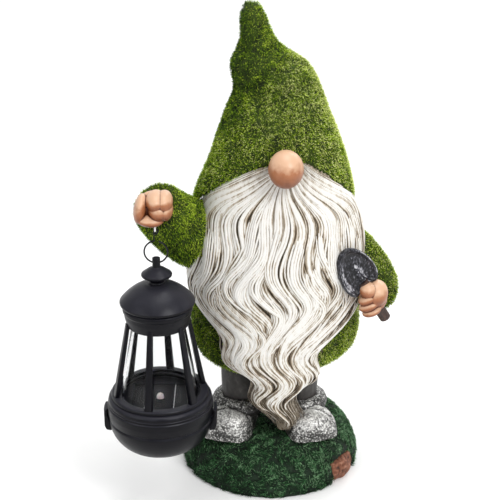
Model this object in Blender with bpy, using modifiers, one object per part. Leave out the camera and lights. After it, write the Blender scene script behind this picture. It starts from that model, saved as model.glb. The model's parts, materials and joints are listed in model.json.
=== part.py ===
"""Garden gnome that holds a hanging solar lantern and a trowel.

Metres, +Z up. The origin is the centre of the base's underside and the gnome
faces -Y. "right" and "left" are the gnome's own: its right hand, at -X, holds
the lantern and its left hand, at +X, holds the trowel.
"""
import math

import bmesh
import bpy
from mathutils import Matrix, Vector

# ---------------------------------------------------------------- dimensions

GAP = 0.0003                    # clearance left between pieces that touch

BASE_RADIUS = 0.062
BASE_TOP = 0.032                # flat top of the mound, where the boots stand
STONE_AZIMUTH = 57.0            # degrees from -Y towards +X
STONE_SIZE = (0.026, 0.013, 0.0155)

LEG_X = {"right": -0.0210, "left": 0.0195}
LEG_Y = -0.010
LEG_TOP = 0.094
CUFF_Z = 0.0485
CUFF_RADIUS = 0.0138            # centreline of the rolled boot top
CUFF_THICKNESS = 0.0043         # radius of the roll itself
BOOT_SPLAY = 16.0               # degrees that each toe turns outwards
BOOT_AXIS_LIFT = 0.001          # height of the boot's axis over the ground that cuts it flat

COAT_WALL = 0.004
HAT_WALL = 0.004
BEARD_BACK_Y = -0.0285          # back of the beard below the coat
NOSE_CENTRE = (0.0078, -0.0580, 0.2370)
NOSE_HALF_SIZE = (0.0110, 0.0130, 0.0122)

RIGHT_FIST_CENTRE = (-0.0738, -0.0630, 0.2140)
RIGHT_FIST_HALF_SIZE = (0.0120, 0.0120, 0.0107)
LEFT_FIST_CENTRE = (0.0657, -0.0400, 0.1420)
LEFT_FIST_HALF_SIZE = (0.0106, 0.0110, 0.0122)

TROWEL_AXIS = (-0.483, -0.223, 0.847)       # from the handle's end to the tip
TROWEL_WIDTH_AXIS = (0.735, 0.424, 0.530)
TROWEL_HANDLE_RADIUS = 0.0038
TROWEL_HANDLE_START = -0.0205               # along the axis, from the fist's centre
TROWEL_TIP = 0.0435
TROWEL_SHOULDER = 0.0150
TROWEL_HALF_WIDTH = 0.0125
TROWEL_THICKNESS = 0.0022

# The lantern hangs on this vertical line.
HANG_X = -0.0735
HANG_Y = -0.0630
EYE_Z = 0.1978                  # centre of the hand eye's bottom wire: sideways swing axis
EYE_WIRE = 0.00065              # wire radii
BAIL_WIRE = 0.00055
EYE_HALF_WIDTH = 0.0019         # from the eye's middle to each leg's centreline
EYE_BEND = 0.0014               # height of the eye's round bottom
EYE_LEG_TOP = 0.0100            # where the legs end inside the fist, over EYE_Z
HOOK_RADIUS = 0.0016            # centreline of the bail's hook, around the eye's wire
RING_RADIUS = 0.0074            # centreline of the bail's ring
RING_Z = 0.1839
STEM_PIVOT_Z = RING_Z - RING_RADIUS         # fore and aft swing axis
STEM_RADIUS = 0.00255
STEM_TOP = 0.1800
STEM_HOLE_RADIUS = 0.0010

LANTERN_STEPS = 28              # facets around a turned lantern part
ROOF_RADIUS = 0.0242
ROOF_RIM_Z = 0.1497
POST_COUNT = 6
FIRST_POST_AZIMUTH = -10.7      # degrees from -Y towards +X
POST_TOP_RADIUS = 0.0195
POST_FOOT_RADIUS = 0.0294
POST_TOP_Z = 0.1370
POST_FOOT_Z = 0.0840
COLLAR_RADIUS = 0.0342
SEAM_Z = 0.0680                 # joint between the housing's collar and bowl
HOUSING_WALL = 0.0020
BOWL_FLOOR_Z = 0.0455           # underside of the bowl
BOWL_FLOOR_RADIUS = 0.0140
EAR_RADIUS = 0.0375
EAR_TOP = 0.0735
DECK_RADIUS = 0.0318
DECK_Z = 0.0760                 # underside of the deck that carries the lamp
DECK_TOP = 0.0780
PANEL_SIZE = 0.0360
PANEL_THICKNESS = 0.0016
BATTERY_LENGTH = 0.0445
BATTERY_RADIUS = 0.00525
BATTERY_Z = 0.0620
BATTERY_Y_OFFSET = -0.0030
LEAD_RADIUS = 0.0006
LED_RADIUS = 0.0025
BOARD_SIZE = (0.026, 0.018, 0.0012)
BOARD_Z = 0.0712                # underside of the circuit board
HOLDER_SIZE = (0.0530, 0.0124, 0.0090)
TROUGH_SIZE = (0.0492, 0.0111, 0.0100)
CONTACT_SIZE = (0.0005, 0.0085, 0.0080)
PILLAR_RING_RADIUS = 0.0180
PILLAR_AZIMUTHS = (0.0, 120.0, 240.0)       # degrees from -Y towards +X
PILLAR_END = 0.0570             # where the deck's pillars meet the bowl's bosses
PILLAR_RADIUS = 0.0026
BOSS_RADIUS = 0.0034
SCREW_SEAT_Z = 0.0510
SCREW_RADIUS = 0.0010
SCREW_HEAD_RADIUS = 0.0021
SCREW_HEAD_HEIGHT = 0.0013
SCREW_SHANK = 0.0110            # length above the seat, its point included
SWITCH_BODY_SIZE = (0.0090, 0.0050, 0.0045)
SWITCH_TRAVEL = 0.0020
KNOB_WIDTH = 0.0018
KNOB_HEIGHT = 0.0055
KNOB_REACH = 0.0043             # how far the knob's top stands over the bowl's underside
SLOT_HEIGHT = 0.0062

# ------------------------------------------------------------------- palette

FLOCK_GREEN = (0.15, 0.27, 0.04)
GRASS_GREEN = (0.02, 0.07, 0.03)
STONE_ORANGE = (0.36, 0.13, 0.06)
BEARD_WHITE = (0.80, 0.76, 0.68)
SKIN = (0.76, 0.42, 0.25)
BOOT_GREY = (0.30, 0.30, 0.29)
TROUSER_GREY = (0.11, 0.10, 0.10)
IRON_BLACK = (0.03, 0.03, 0.035)
WOOD_BROWN = (0.10, 0.04, 0.03)
SILVER = (0.75, 0.75, 0.75)
LANTERN_BLACK = (0.012, 0.012, 0.014)
CLEAR = (0.90, 0.92, 0.92)
CELL_BLUE = (0.02, 0.02, 0.05)
LED_WHITE = (0.90, 0.88, 0.80)
BOARD_GREEN = (0.02, 0.15, 0.06)
CELL_GREEN = (0.05, 0.30, 0.15)
WIRE_RED = (0.45, 0.02, 0.02)

# ------------------------------------------------------------------- helpers


def new_collection(name):
    """Return a new collection linked to the scene."""
    collection = bpy.data.collections.new(name)
    bpy.context.scene.collection.children.link(collection)
    return collection


def add_object(name, data, colour=None, roughness=0.7, metallic=0.0):
    """Add a part with its own material or, with no colour, a hidden cutter."""
    obj = bpy.data.objects.new(name, data)
    if colour is None:
        CUTTERS.objects.link(obj)
        obj.hide_render = True
        obj.display_type = "WIRE"
        return obj
    PARTS.objects.link(obj)
    material = bpy.data.materials.new(name)
    material.use_nodes = True
    shader = material.node_tree.nodes["Principled BSDF"]
    shader.inputs["Base Color"].default_value = (*colour, 1.0)
    shader.inputs["Roughness"].default_value = roughness
    shader.inputs["Metallic"].default_value = metallic
    data.materials.append(material)
    return obj


def mesh_from(bm, name, smooth=True):
    """Turn a bmesh into a mesh and free it."""
    mesh = bpy.data.meshes.new(name)
    bm.to_mesh(mesh)
    bm.free()
    if smooth:
        mesh.shade_smooth()
        mesh.set_sharp_from_angle(angle=math.radians(35))
    return mesh


def subtract(obj, *cutters):
    """Cut each cutter out of the object."""
    for cutter in cutters:
        boolean = obj.modifiers.new(cutter.name, "BOOLEAN")
        boolean.operation = "DIFFERENCE"
        boolean.object = cutter
    return obj


def unite(obj, *tools):
    """Join each tool to the object."""
    for tool in tools:
        boolean = obj.modifiers.new(tool.name, "BOOLEAN")
        boolean.operation = "UNION"
        boolean.object = tool
    return obj


def subdivide(obj):
    """Round a coarse cage."""
    subsurf = obj.modifiers.new("round", "SUBSURF")
    subsurf.levels = 1
    subsurf.render_levels = 1
    return obj


def swell(obj, distance):
    """Move a closed surface outwards, to cut a clearance around it."""
    displace = obj.modifiers.new("clearance", "DISPLACE")
    displace.strength = distance
    displace.mid_level = 0.0
    return obj


def block(name, size, location, colour=None, **look):
    """Add a box from its full size and centre."""
    bm = bmesh.new()
    bmesh.ops.create_cube(bm, size=1.0, matrix=Matrix.Diagonal((*size, 1.0)))
    obj = add_object(name, mesh_from(bm, name, smooth=False), colour, **look)
    obj.location = location
    return obj


def cylinder(name, radius, bottom, top, centre, colour=None, sides=16, top_radius=None, **look):
    """Add an upright cylinder or cone between two heights at an (x, y) centre."""
    bm = bmesh.new()
    end_radius = radius if top_radius is None else top_radius
    bmesh.ops.create_cone(bm, cap_ends=True, segments=sides, radius1=radius, radius2=end_radius,
                          depth=top - bottom)
    obj = add_object(name, mesh_from(bm, name), colour, **look)
    obj.location = (centre[0], centre[1], (bottom + top) / 2)
    return obj


def ball(name, centre, half_size, colour=None, grow=0.0, **look):
    """Add an ellipsoid."""
    bm = bmesh.new()
    scale = Matrix.Diagonal((*(h + grow for h in half_size), 1.0))
    bmesh.ops.create_uvsphere(bm, u_segments=16, v_segments=10, radius=1.0, matrix=scale)
    obj = add_object(name, mesh_from(bm, name), colour, **look)
    obj.location = centre
    return obj


def turned(name, profile, centre, colour=None, steps=LANTERN_STEPS, closed=False, **look):
    """Turn a profile of (radius, z) points, listed down its outer side, around +Z."""
    mesh = bpy.data.meshes.new(name)
    edges = [(i, i + 1) for i in range(len(profile) - 1)]
    if closed:
        edges.append((len(profile) - 1, 0))
    mesh.from_pydata([(r, 0.0, z) for r, z in profile], edges, [])
    obj = add_object(name, mesh, colour, **look)
    obj.location = (centre[0], centre[1], 0.0)
    screw = obj.modifiers.new("turn", "SCREW")
    screw.steps = steps
    screw.render_steps = steps
    screw.use_merge_vertices = True
    screw.merge_threshold = 0.00001
    screw.use_smooth_shade = True
    return obj


def circle_profile(radius, z, thickness, count):
    """Closed round profile, listed from its top down its outer side."""
    angles = [math.pi / 2 - 2 * math.pi * i / count for i in range(count)]
    return [(radius + thickness * math.cos(a), z + thickness * math.sin(a)) for a in angles]


def wire(name, points, radius, location, colour=None, cyclic=False, **look):
    """Add a round wire through points."""
    curve = bpy.data.curves.new(name, "CURVE")
    curve.dimensions = "3D"
    curve.bevel_depth = radius
    curve.bevel_resolution = 1
    curve.use_fill_caps = not cyclic
    spline = curve.splines.new("POLY")
    spline.points.add(len(points) - 1)
    for spline_point, point in zip(spline.points, points):
        spline_point.co = (*point, 1.0)
    spline.use_cyclic_u = cyclic
    obj = add_object(name, curve, colour, **look)
    obj.location = location
    return obj


def on_ring(radius, azimuth):
    """Point on the lantern's plan at an azimuth in degrees from -Y towards +X."""
    angle = math.radians(azimuth)
    return (HANG_X + radius * math.sin(angle), HANG_Y - radius * math.cos(angle))


def cage_growth(sides):
    """Factor that makes a subdivided ring of this many points reach its radius."""
    return 3.0 / (2.0 + math.cos(2.0 * math.pi / sides))


def level_ring(z, centre_x, centre_y, half_width, half_depth, sides, notch=0.0):
    """Ring of cage points in a level plane, raised by notch towards the front."""
    points = []
    grow = cage_growth(sides)
    for i in range(sides):
        azimuth = 2.0 * math.pi * i / sides
        turn = min(azimuth, 2.0 * math.pi - azimuth)
        lift = notch * max(0.0, 1.0 - turn / math.radians(95)) ** 1.15
        points.append(Vector((centre_x + grow * half_width * math.sin(azimuth),
                              centre_y - grow * half_depth * math.cos(azimuth),
                              z + lift)))
    return points


def path_rings(stations, sides):
    """Rings of cage points across a path; a station is (x, y, z, half_width, half_height)."""
    centres = [Vector(station[:3]) for station in stations]
    grow = cage_growth(sides)
    rings = []
    for i, (centre, station) in enumerate(zip(centres, stations)):
        ahead = centres[min(i + 1, len(centres) - 1)]
        behind = centres[max(i - 1, 0)]
        direction = (ahead - behind).normalized()
        side = direction.cross(Vector((0, 0, 1))).normalized()
        up = side.cross(direction)
        half_width, half_height = station[3:]
        ring = []
        for k in range(sides):
            angle = 2.0 * math.pi * k / sides
            ring.append(centre - side * (grow * half_width * math.cos(angle))
                        + up * (grow * half_height * math.sin(angle)))
        rings.append(ring)
    return rings


def loft(name, rings, colour=None, caps=(True, True), crease_caps=False, **look):
    """Skin rings of points, listed along their own normal, and round the result.

    Creased caps keep the sides exactly as they are without caps.
    """
    bm = bmesh.new()
    crease = bm.edges.layers.float.new("crease_edge")
    loops = [[bm.verts.new(point) for point in ring] for ring in rings]
    for low, high in zip(loops, loops[1:]):
        for i in range(len(low)):
            j = (i + 1) % len(low)
            bm.faces.new((low[i], low[j], high[j], high[i]))
    first_cap, last_cap = caps
    ends = []
    if first_cap:
        ends.append(bm.faces.new(list(reversed(loops[0]))))
    if last_cap:
        ends.append(bm.faces.new(loops[-1]))
    if crease_caps:
        for edge in (edge for end in ends for edge in end.edges):
            edge[crease] = 1.0
    obj = add_object(name, mesh_from(bm, name), colour, **look)
    return subdivide(obj)


def shell(obj, wall):
    """Give an open surface a wall on its inner side."""
    solidify = obj.modifiers.new("wall", "SOLIDIFY")
    solidify.thickness = wall
    solidify.offset = -1.0
    solidify.use_even_offset = True
    return obj


def hang_from(pivot, *objects):
    """Parent objects to a pivot without moving them."""
    bpy.context.view_layer.update()
    for obj in objects:
        obj.parent = pivot
        obj.matrix_parent_inverse = pivot.matrix_world.inverted()


def pivot_at(name, location):
    """Add an empty on a joint's axis."""
    empty = bpy.data.objects.new(name, None)
    empty.location = location
    empty.empty_display_size = 0.01
    PARTS.objects.link(empty)
    return empty


# -------------------------------------------------------------- base and feet


def build_base():
    """Round mound with one stone set in its front edge."""
    angle = math.radians(STONE_AZIMUTH)
    width, depth, height = STONE_SIZE
    reach = BASE_RADIUS - depth / 2
    centre = (reach * math.sin(angle), -reach * math.cos(angle), height / 2)
    stone = block("base_stone", STONE_SIZE, centre, STONE_ORANGE, roughness=0.8)
    stone.rotation_euler.z = angle
    bevel = stone.modifiers.new("worn_edges", "BEVEL")
    bevel.width = 0.002
    bevel.segments = 2

    clearance = [side + 2 * GAP for side in STONE_SIZE]
    pocket = block("stone_pocket", (clearance[0], 2 * clearance[1], clearance[2] * 2),
                   (centre[0], centre[1], 0.0))
    pocket.rotation_euler.z = angle

    profile = [
        (0.0, BASE_TOP),
        (0.041, BASE_TOP),
        (0.049, 0.0290),
        (0.0555, 0.0225),
        (0.0600, 0.0140),
        (BASE_RADIUS, 0.0060),
        (BASE_RADIUS - 0.001, 0.0),
        (0.0, 0.0),
    ]
    mound = turned("base_mound", profile, (0.0, 0.0), GRASS_GREEN, steps=48, roughness=0.9)
    subtract(mound, pocket)


def boot_stations(side):
    """Stations of a boot from its heel to its toe."""
    outwards = -1.0 if side == "right" else 1.0
    angle = math.radians(BOOT_SPLAY) * outwards
    toe = Vector((math.sin(angle), -math.cos(angle), 0.0))
    heel = Vector((LEG_X[side], LEG_Y + 0.013, 0.0))
    stations = []
    for along, half_width, top in (
            (-0.003, 0.009, 0.0400),
            (0.004, 0.0145, 0.0455),
            (0.016, 0.0160, 0.0490),
            (0.029, 0.0178, 0.0500),
            (0.040, 0.0178, 0.0475),
            (0.0475, 0.0125, 0.0410),
    ):
        centre = heel + toe * along
        stations.append((centre.x, centre.y, BASE_TOP + BOOT_AXIS_LIFT, half_width, top - BASE_TOP))
    return stations


def build_foot(side, ground):
    """Boot, rolled boot top and trouser leg of one side; returns the boot's clearance."""
    rings = path_rings(boot_stations(side), 10)
    boot = loft(side + "_boot", rings, BOOT_GREY, roughness=0.6)
    subtract(boot, ground)
    boot_space = swell(loft(side + "_boot_space", rings), GAP)

    leg_rings = [level_ring(z, LEG_X[side], LEG_Y, r, r, 8)
                 for z, r in ((0.040, 0.0128), (0.050, 0.0130), (0.070, 0.0140), (LEG_TOP, 0.0150))]
    leg = loft(side + "_leg", leg_rings, TROUSER_GREY)
    subtract(leg, boot_space)
    leg_space = swell(loft(side + "_leg_space", leg_rings), GAP)

    cuff = turned(side + "_boot_cuff", circle_profile(CUFF_RADIUS, CUFF_Z, CUFF_THICKNESS, 8),
                  (LEG_X[side], LEG_Y), BOOT_GREY, steps=18, closed=True, roughness=0.6)
    subtract(cuff, leg_space, boot_space)
    return boot_space


# ----------------------------------------------------------------------- body

COAT_SECTIONS = (
    # z, centre x, centre y, half width, half depth
    (0.0805, -0.0010, -0.0020, 0.0385, 0.0310),
    (0.0840, 0.0000, -0.0010, 0.0480, 0.0380),
    (0.0920, 0.0030, 0.0, 0.0555, 0.0445),
    (0.1050, 0.0030, 0.0, 0.0580, 0.0465),
    (0.1200, 0.0025, 0.0, 0.0570, 0.0465),
    (0.1400, 0.0020, 0.0, 0.0550, 0.0455),
    (0.1600, 0.0020, 0.0, 0.0525, 0.0440),
    (0.1800, 0.0020, -0.0010, 0.0490, 0.0400),
    (0.1980, 0.0030, -0.0015, 0.0435, 0.0355),
    (0.2120, 0.0035, -0.0015, 0.0370, 0.0310),
)

BEARD_SECTIONS = (
    # z, centre x, centre y, half width, half depth
    (0.0370, 0.0085, -0.0330, 0.0035, 0.0040),
    (0.0460, 0.0070, -0.0320, 0.0085, 0.0085),
    (0.0570, 0.0055, -0.0310, 0.0130, 0.0125),
    (0.0700, 0.0045, -0.0310, 0.0140, 0.0165),
    (0.0820, 0.0040, -0.0290, 0.0210, 0.0220),
    (0.0930, -0.0005, -0.0270, 0.0315, 0.0265),
    (0.1060, 0.0015, -0.0240, 0.0365, 0.0315),
    (0.1200, 0.0050, -0.0190, 0.0460, 0.0380),
    (0.1350, 0.0030, -0.0150, 0.0525, 0.0430),
    (0.1530, 0.0030, -0.0130, 0.0565, 0.0460),
    (0.1700, 0.0055, -0.0120, 0.0570, 0.0460),
    (0.1900, 0.0050, -0.0120, 0.0535, 0.0440),
    (0.2080, 0.0040, -0.0140, 0.0475, 0.0390),
    (0.2240, 0.0045, -0.0220, 0.0370, 0.0280),
    (0.2370, 0.0065, -0.0310, 0.0240, 0.0160),
    (0.2440, 0.0080, -0.0340, 0.0120, 0.0080),
)

HAT_SECTIONS = (
    # z, centre x, centre y, half width, half depth, height of the notch over the nose
    (0.1940, 0.0012, -0.0010, 0.0532, 0.0445, 0.0480),
    (0.2050, 0.0024, -0.0010, 0.0512, 0.0445, 0.0430),
    (0.2200, 0.0040, -0.0010, 0.0455, 0.0430, 0.0340),
    (0.2400, 0.0040, 0.0, 0.0395, 0.0400, 0.0200),
    (0.2580, 0.0030, 0.0020, 0.0330, 0.0340, 0.0080),
    (0.2710, 0.0045, 0.0040, 0.0270, 0.0285, 0.0),
    (0.2810, 0.0010, 0.0050, 0.0265, 0.0260, 0.0),
    (0.2890, -0.0030, 0.0060, 0.0245, 0.0230, 0.0),
    (0.2960, -0.0080, 0.0080, 0.0140, 0.0160, 0.0),
    (0.3030, -0.0095, 0.0090, 0.0100, 0.0115, 0.0),
    (0.3120, -0.0115, 0.0100, 0.0085, 0.0095, 0.0),
    (0.3200, -0.0130, 0.0100, 0.0070, 0.0072, 0.0),
    (0.3250, -0.0135, 0.0100, 0.0038, 0.0038, 0.0),
)

RIGHT_SLEEVE_STATIONS = (
    # x, y, z, half width, half height
    (-0.0300, 0.0000, 0.1660, 0.0180, 0.0240),
    (-0.0440, -0.0100, 0.1730, 0.0190, 0.0240),
    (-0.0560, -0.0220, 0.1820, 0.0185, 0.0215),
    (-0.0660, -0.0340, 0.1940, 0.0175, 0.0185),
    (-0.0720, -0.0450, 0.2060, 0.0165, 0.0165),
    (-0.0735, -0.0510, 0.2110, 0.0150, 0.0150),
)

LEFT_SLEEVE_STATIONS = (
    (0.0380, 0.0060, 0.1660, 0.0150, 0.0180),
    (0.0500, 0.0030, 0.1600, 0.0170, 0.0180),
    (0.0620, -0.0020, 0.1500, 0.0170, 0.0160),
    (0.0690, -0.0110, 0.1420, 0.0160, 0.0155),
    (0.0695, -0.0230, 0.1390, 0.0150, 0.0150),
    (0.0690, -0.0300, 0.1395, 0.0135, 0.0135),
)


def level_rings(sections, sides):
    """Rings for a table of level sections."""
    return [level_ring(*section[:5], sides, *section[5:]) for section in sections]


def build_body(boot_spaces):
    """Coat, hat, sleeves, fists, nose and beard; returns the fists."""
    coat_rings = level_rings(COAT_SECTIONS, 10)
    shell(loft("coat", coat_rings, FLOCK_GREEN, caps=(False, False), roughness=0.95), COAT_WALL)
    coat_space = swell(loft("coat_space", coat_rings, crease_caps=True), 2 * GAP)

    hat_rings = level_rings(HAT_SECTIONS, 12)
    hat_form = {"caps": (False, True), "crease_caps": True}
    shell(loft("hat", hat_rings, FLOCK_GREEN, roughness=0.95, **hat_form), HAT_WALL)
    brim_space = swell(shell(loft("hat_brim_space", hat_rings, **hat_form), HAT_WALL), 3 * GAP)
    hat_space = swell(loft("hat_space", hat_rings, crease_caps=True), 2 * GAP)

    nose = ball("nose", NOSE_CENTRE, NOSE_HALF_SIZE, SKIN, roughness=0.35)
    subtract(nose, hat_space)
    nose_space = ball("nose_space", NOSE_CENTRE, NOSE_HALF_SIZE, grow=2 * GAP)
    left_fist_space = ball("left_fist_space", LEFT_FIST_CENTRE, LEFT_FIST_HALF_SIZE, grow=2 * GAP)

    beard_rings = level_rings(BEARD_SECTIONS, 12)
    beard = loft("beard", beard_rings, BEARD_WHITE, roughness=0.6)
    beard_space = swell(loft("beard_space", beard_rings), GAP)
    behind = block("beard_back", (0.2, 0.1, 0.060), (0, BEARD_BACK_Y + 0.05, 0.058))
    subtract(beard, coat_space, hat_space, brim_space, nose_space, left_fist_space, behind,
             *boot_spaces)

    spaces = (coat_space, hat_space, brim_space, beard_space)
    right_fist = build_arm("right", RIGHT_SLEEVE_STATIONS, RIGHT_FIST_CENTRE,
                           RIGHT_FIST_HALF_SIZE, spaces)
    left_fist = build_arm("left", LEFT_SLEEVE_STATIONS, LEFT_FIST_CENTRE,
                          LEFT_FIST_HALF_SIZE, spaces)
    return right_fist, left_fist


def build_arm(side, stations, fist_centre, fist_half_size, spaces):
    """Sleeve and fist of one side; returns the fist."""
    rings = path_rings(stations, 10)
    sleeve = loft(side + "_sleeve", rings, FLOCK_GREEN, roughness=0.95)
    subtract(sleeve, *spaces)
    sleeve_space = swell(loft(side + "_sleeve_space", rings), GAP)
    fist = ball(side + "_fist", fist_centre, fist_half_size, SKIN, roughness=0.35)
    return subtract(fist, sleeve_space)


# --------------------------------------------------------------------- trowel


def trowel_matrix():
    """Frame at the left fist's centre: +X across the blade, +Z along the trowel to its tip."""
    along = Vector(TROWEL_AXIS).normalized()
    across = Vector(TROWEL_WIDTH_AXIS)
    across = (across - along * across.dot(along)).normalized()
    normal = along.cross(across)
    rotation = Matrix((across, normal, along)).transposed().to_4x4()
    return Matrix.Translation(LEFT_FIST_CENTRE) @ rotation


def blade_outline():
    """Half outline of the spade-shaped blade, from its tip to its neck, as (x, z)."""
    length = TROWEL_TIP - TROWEL_SHOULDER
    points = []
    for i in range(9):
        t = i / 8
        points.append((TROWEL_HALF_WIDTH * math.sin(math.pi / 2 * t) ** 0.85,
                       TROWEL_TIP - length * (1 - math.cos(math.pi / 2 * t)) * 0.9 - length * 0.1 * t))
    points.append((TROWEL_HALF_WIDTH * 0.80, TROWEL_SHOULDER - 0.003))
    points.append((TROWEL_HALF_WIDTH * 0.45, TROWEL_SHOULDER - 0.002))
    return points


def build_trowel(left_fist):
    """Blade with its socket, and the handle through the fist."""
    frame = trowel_matrix()
    half = blade_outline()
    outline = half + [(-x, z) for x, z in reversed(half[1:])]
    bm = bmesh.new()
    face = bm.faces.new([bm.verts.new((x, -TROWEL_THICKNESS / 2, z)) for x, z in outline])
    side = bmesh.ops.extrude_face_region(bm, geom=[face])
    moved = [item for item in side["geom"] if isinstance(item, bmesh.types.BMVert)]
    bmesh.ops.translate(bm, vec=(0, TROWEL_THICKNESS, 0), verts=moved)
    bmesh.ops.recalc_face_normals(bm, faces=bm.faces)
    blade = add_object("trowel_blade", mesh_from(bm, "trowel_blade"), IRON_BLACK,
                       roughness=0.45, metallic=0.6)

    socket_bottom, socket_top = TROWEL_SHOULDER - 0.003, TROWEL_SHOULDER + 0.014
    socket = cylinder("trowel_socket", TROWEL_HANDLE_RADIUS + 0.0012, socket_bottom, socket_top,
                      (0, 0), top_radius=0.0014)
    handle = cylinder("trowel_handle", TROWEL_HANDLE_RADIUS, TROWEL_HANDLE_START, TROWEL_SHOULDER,
                      (0, 0), WOOD_BROWN, roughness=0.6)
    handle_space = cylinder("trowel_handle_space", TROWEL_HANDLE_RADIUS + GAP,
                            TROWEL_HANDLE_START - GAP, TROWEL_SHOULDER + GAP, (0, 0))
    for obj in (blade, socket, handle, handle_space):
        obj.matrix_world = frame @ Matrix.Translation(obj.location)
    unite(blade, socket)
    fist_space = ball("trowel_fist_space", LEFT_FIST_CENTRE, LEFT_FIST_HALF_SIZE, grow=2 * GAP)
    subtract(blade, handle_space, fist_space)
    subtract(left_fist, handle_space)


# --------------------------------------------------------------- hook and bail


def eye_points():
    """U of wire in the YZ plane about its own bottom: two legs and a round bottom."""
    points = [(0.0, EYE_HALF_WIDTH, EYE_LEG_TOP)]
    for i in range(9):
        angle = math.pi * i / 8
        points.append((0.0, EYE_HALF_WIDTH * math.cos(angle), EYE_BEND * (1 - math.sin(angle))))
    points.append((0.0, -EYE_HALF_WIDTH, EYE_LEG_TOP))
    return points


def build_eye(right_fist):
    """Silver wire eye cast into the right fist."""
    wire("hand_eye", eye_points(), EYE_WIRE, (HANG_X, HANG_Y, EYE_Z), SILVER, roughness=0.2,
         metallic=1.0)
    for side in (-1, 1):
        hole = cylinder("eye_hole_%d" % (side + 1), EYE_WIRE + GAP, EYE_Z,
                        EYE_Z + EYE_LEG_TOP + 0.0005, (HANG_X, HANG_Y + side * EYE_HALF_WIDTH),
                        sides=12)
        subtract(right_fist, hole)


def bail_points():
    """Wire centreline in the XZ plane, from the hook's end to the ring's end, about the eye."""
    hook = []
    for i in range(10):
        angle = math.radians(-150 + 270 * i / 9)
        hook.append((HOOK_RADIUS * math.cos(-angle), 0.0, HOOK_RADIUS * math.sin(-angle)))
    drop = RING_Z - EYE_Z
    ring = []
    start, end = 98.0, 98.0 + 338.0
    for i in range(29):
        angle = math.radians(start + (end - start) * i / 28)
        ring.append((RING_RADIUS * math.cos(angle), 0.0, drop + RING_RADIUS * math.sin(angle)))
    return hook + ring


def build_bail():
    """Black wire ring with its hook."""
    return wire("bail", bail_points(), BAIL_WIRE, (HANG_X, HANG_Y, EYE_Z), LANTERN_BLACK,
                roughness=0.4, metallic=0.5)


# -------------------------------------------------------------- lantern's top

AXIS = (HANG_X, HANG_Y)


def build_finial():
    """Stem with a cross hole, over a disc and neck."""
    profile = [
        (0.0, STEM_TOP),
        (STEM_RADIUS - 0.0004, STEM_TOP),
        (STEM_RADIUS, STEM_TOP - 0.0004),
        (STEM_RADIUS, 0.1738),
        (0.0052, 0.1724),
        (0.0088, 0.1700),
        (0.0099, 0.1684),
        (0.0088, 0.1668),
        (0.0052, 0.1640),
        (0.0046, 0.1628),
        (0.0, 0.1628),
    ]
    finial = turned("lantern_finial", profile, AXIS, LANTERN_BLACK, steps=20, roughness=0.4)
    hole = cylinder("stem_hole", STEM_HOLE_RADIUS, -0.004, 0.004, (0, 0), sides=16)
    hole.rotation_euler.y = math.pi / 2
    hole.location = (HANG_X, HANG_Y, STEM_PIVOT_Z + 0.00025)
    return subtract(finial, hole)


def build_roof():
    """Domed roof, a shell open below."""
    profile = [
        (0.0, 0.1625),
        (0.0056, 0.1625),
        (0.0107, 0.1608),
        (0.0163, 0.1572),
        (0.0215, 0.1528),
        (ROOF_RADIUS - 0.0003, 0.1508),
        (ROOF_RADIUS, ROOF_RIM_Z),
        (ROOF_RADIUS - 0.0008, 0.1484),
        (0.0216, 0.1480),
        (0.0200, 0.1500),
        (0.0155, 0.1545),
        (0.0100, 0.1585),
        (0.0, 0.1600),
    ]
    return turned("lantern_roof", profile, AXIS, LANTERN_BLACK, roughness=0.4)


def post(azimuth):
    """Tapered post that leans in from the collar to the roof's ring."""
    bm = bmesh.new()
    bmesh.ops.create_cube(bm, size=1.0)
    foot_size, top_size = (0.0056, 0.0036), (0.0036, 0.0026)
    for vert in bm.verts:
        at_top = vert.co.z > 0
        width, depth = top_size if at_top else foot_size
        radius = POST_TOP_RADIUS if at_top else POST_FOOT_RADIUS
        height = POST_TOP_Z if at_top else POST_FOOT_Z
        vert.co = Vector((vert.co.x * width, vert.co.y * depth - radius, height))
    angle = math.radians(azimuth)
    bmesh.ops.rotate(bm, cent=(0, 0, 0), matrix=Matrix.Rotation(angle, 3, "Z"), verts=bm.verts)
    name = "post_%d" % round(azimuth)
    obj = add_object(name, mesh_from(bm, name, smooth=False))
    obj.location = (HANG_X, HANG_Y, 0.0)
    return obj


def build_cage():
    """Roof ring, six posts and foot ring, moulded in one."""
    ring_profile = [
        (0.0206, 0.1476),
        (0.0222, 0.1470),
        (0.0226, 0.1455),
        (0.0216, 0.1405),
        (0.0196, 0.1340),
        (0.0184, 0.1340),
        (0.0206, 0.1400),
    ]
    cage = turned("lantern_cage", ring_profile, AXIS, LANTERN_BLACK, closed=True, roughness=0.4)
    foot_profile = [
        (0.0314, 0.0860),
        (0.0320, 0.0848),
        (0.0320, 0.0838),
        (0.0268, 0.0838),
        (0.0268, 0.0860),
    ]
    foot_ring = turned("foot_ring", foot_profile, AXIS, closed=True)
    posts = [post(FIRST_POST_AZIMUTH + i * 360.0 / POST_COUNT) for i in range(POST_COUNT)]
    return unite(cage, foot_ring, *posts)


def build_chimney():
    """Clear conical window inside the posts."""
    profile = [
        (0.0166, 0.1370),
        (0.0253, 0.0845),
        (0.0258, 0.0838),
        (0.0246, 0.0838),
        (0.0154, 0.1370),
    ]
    return turned("lantern_chimney", profile, AXIS, CLEAR, closed=True, roughness=0.05)


# ---------------------------------------------------------- lantern's housing


def build_collar():
    """Domed upper half of the housing."""
    profile = [
        (0.0300, 0.0835),
        (0.0322, 0.0826),
        (0.0338, 0.0805),
        (0.0338, 0.0785),
        (0.0346, 0.0778),
        (0.0348, 0.0730),
        (COLLAR_RADIUS, SEAM_Z),
        (COLLAR_RADIUS - HOUSING_WALL, SEAM_Z),
        (0.0326, 0.0782),
        (0.0310, 0.0808),
        (0.0240, 0.0815),
        (0.0240, 0.0835),
    ]
    return turned("lantern_collar", profile, AXIS, LANTERN_BLACK, closed=True, roughness=0.4)


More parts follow.
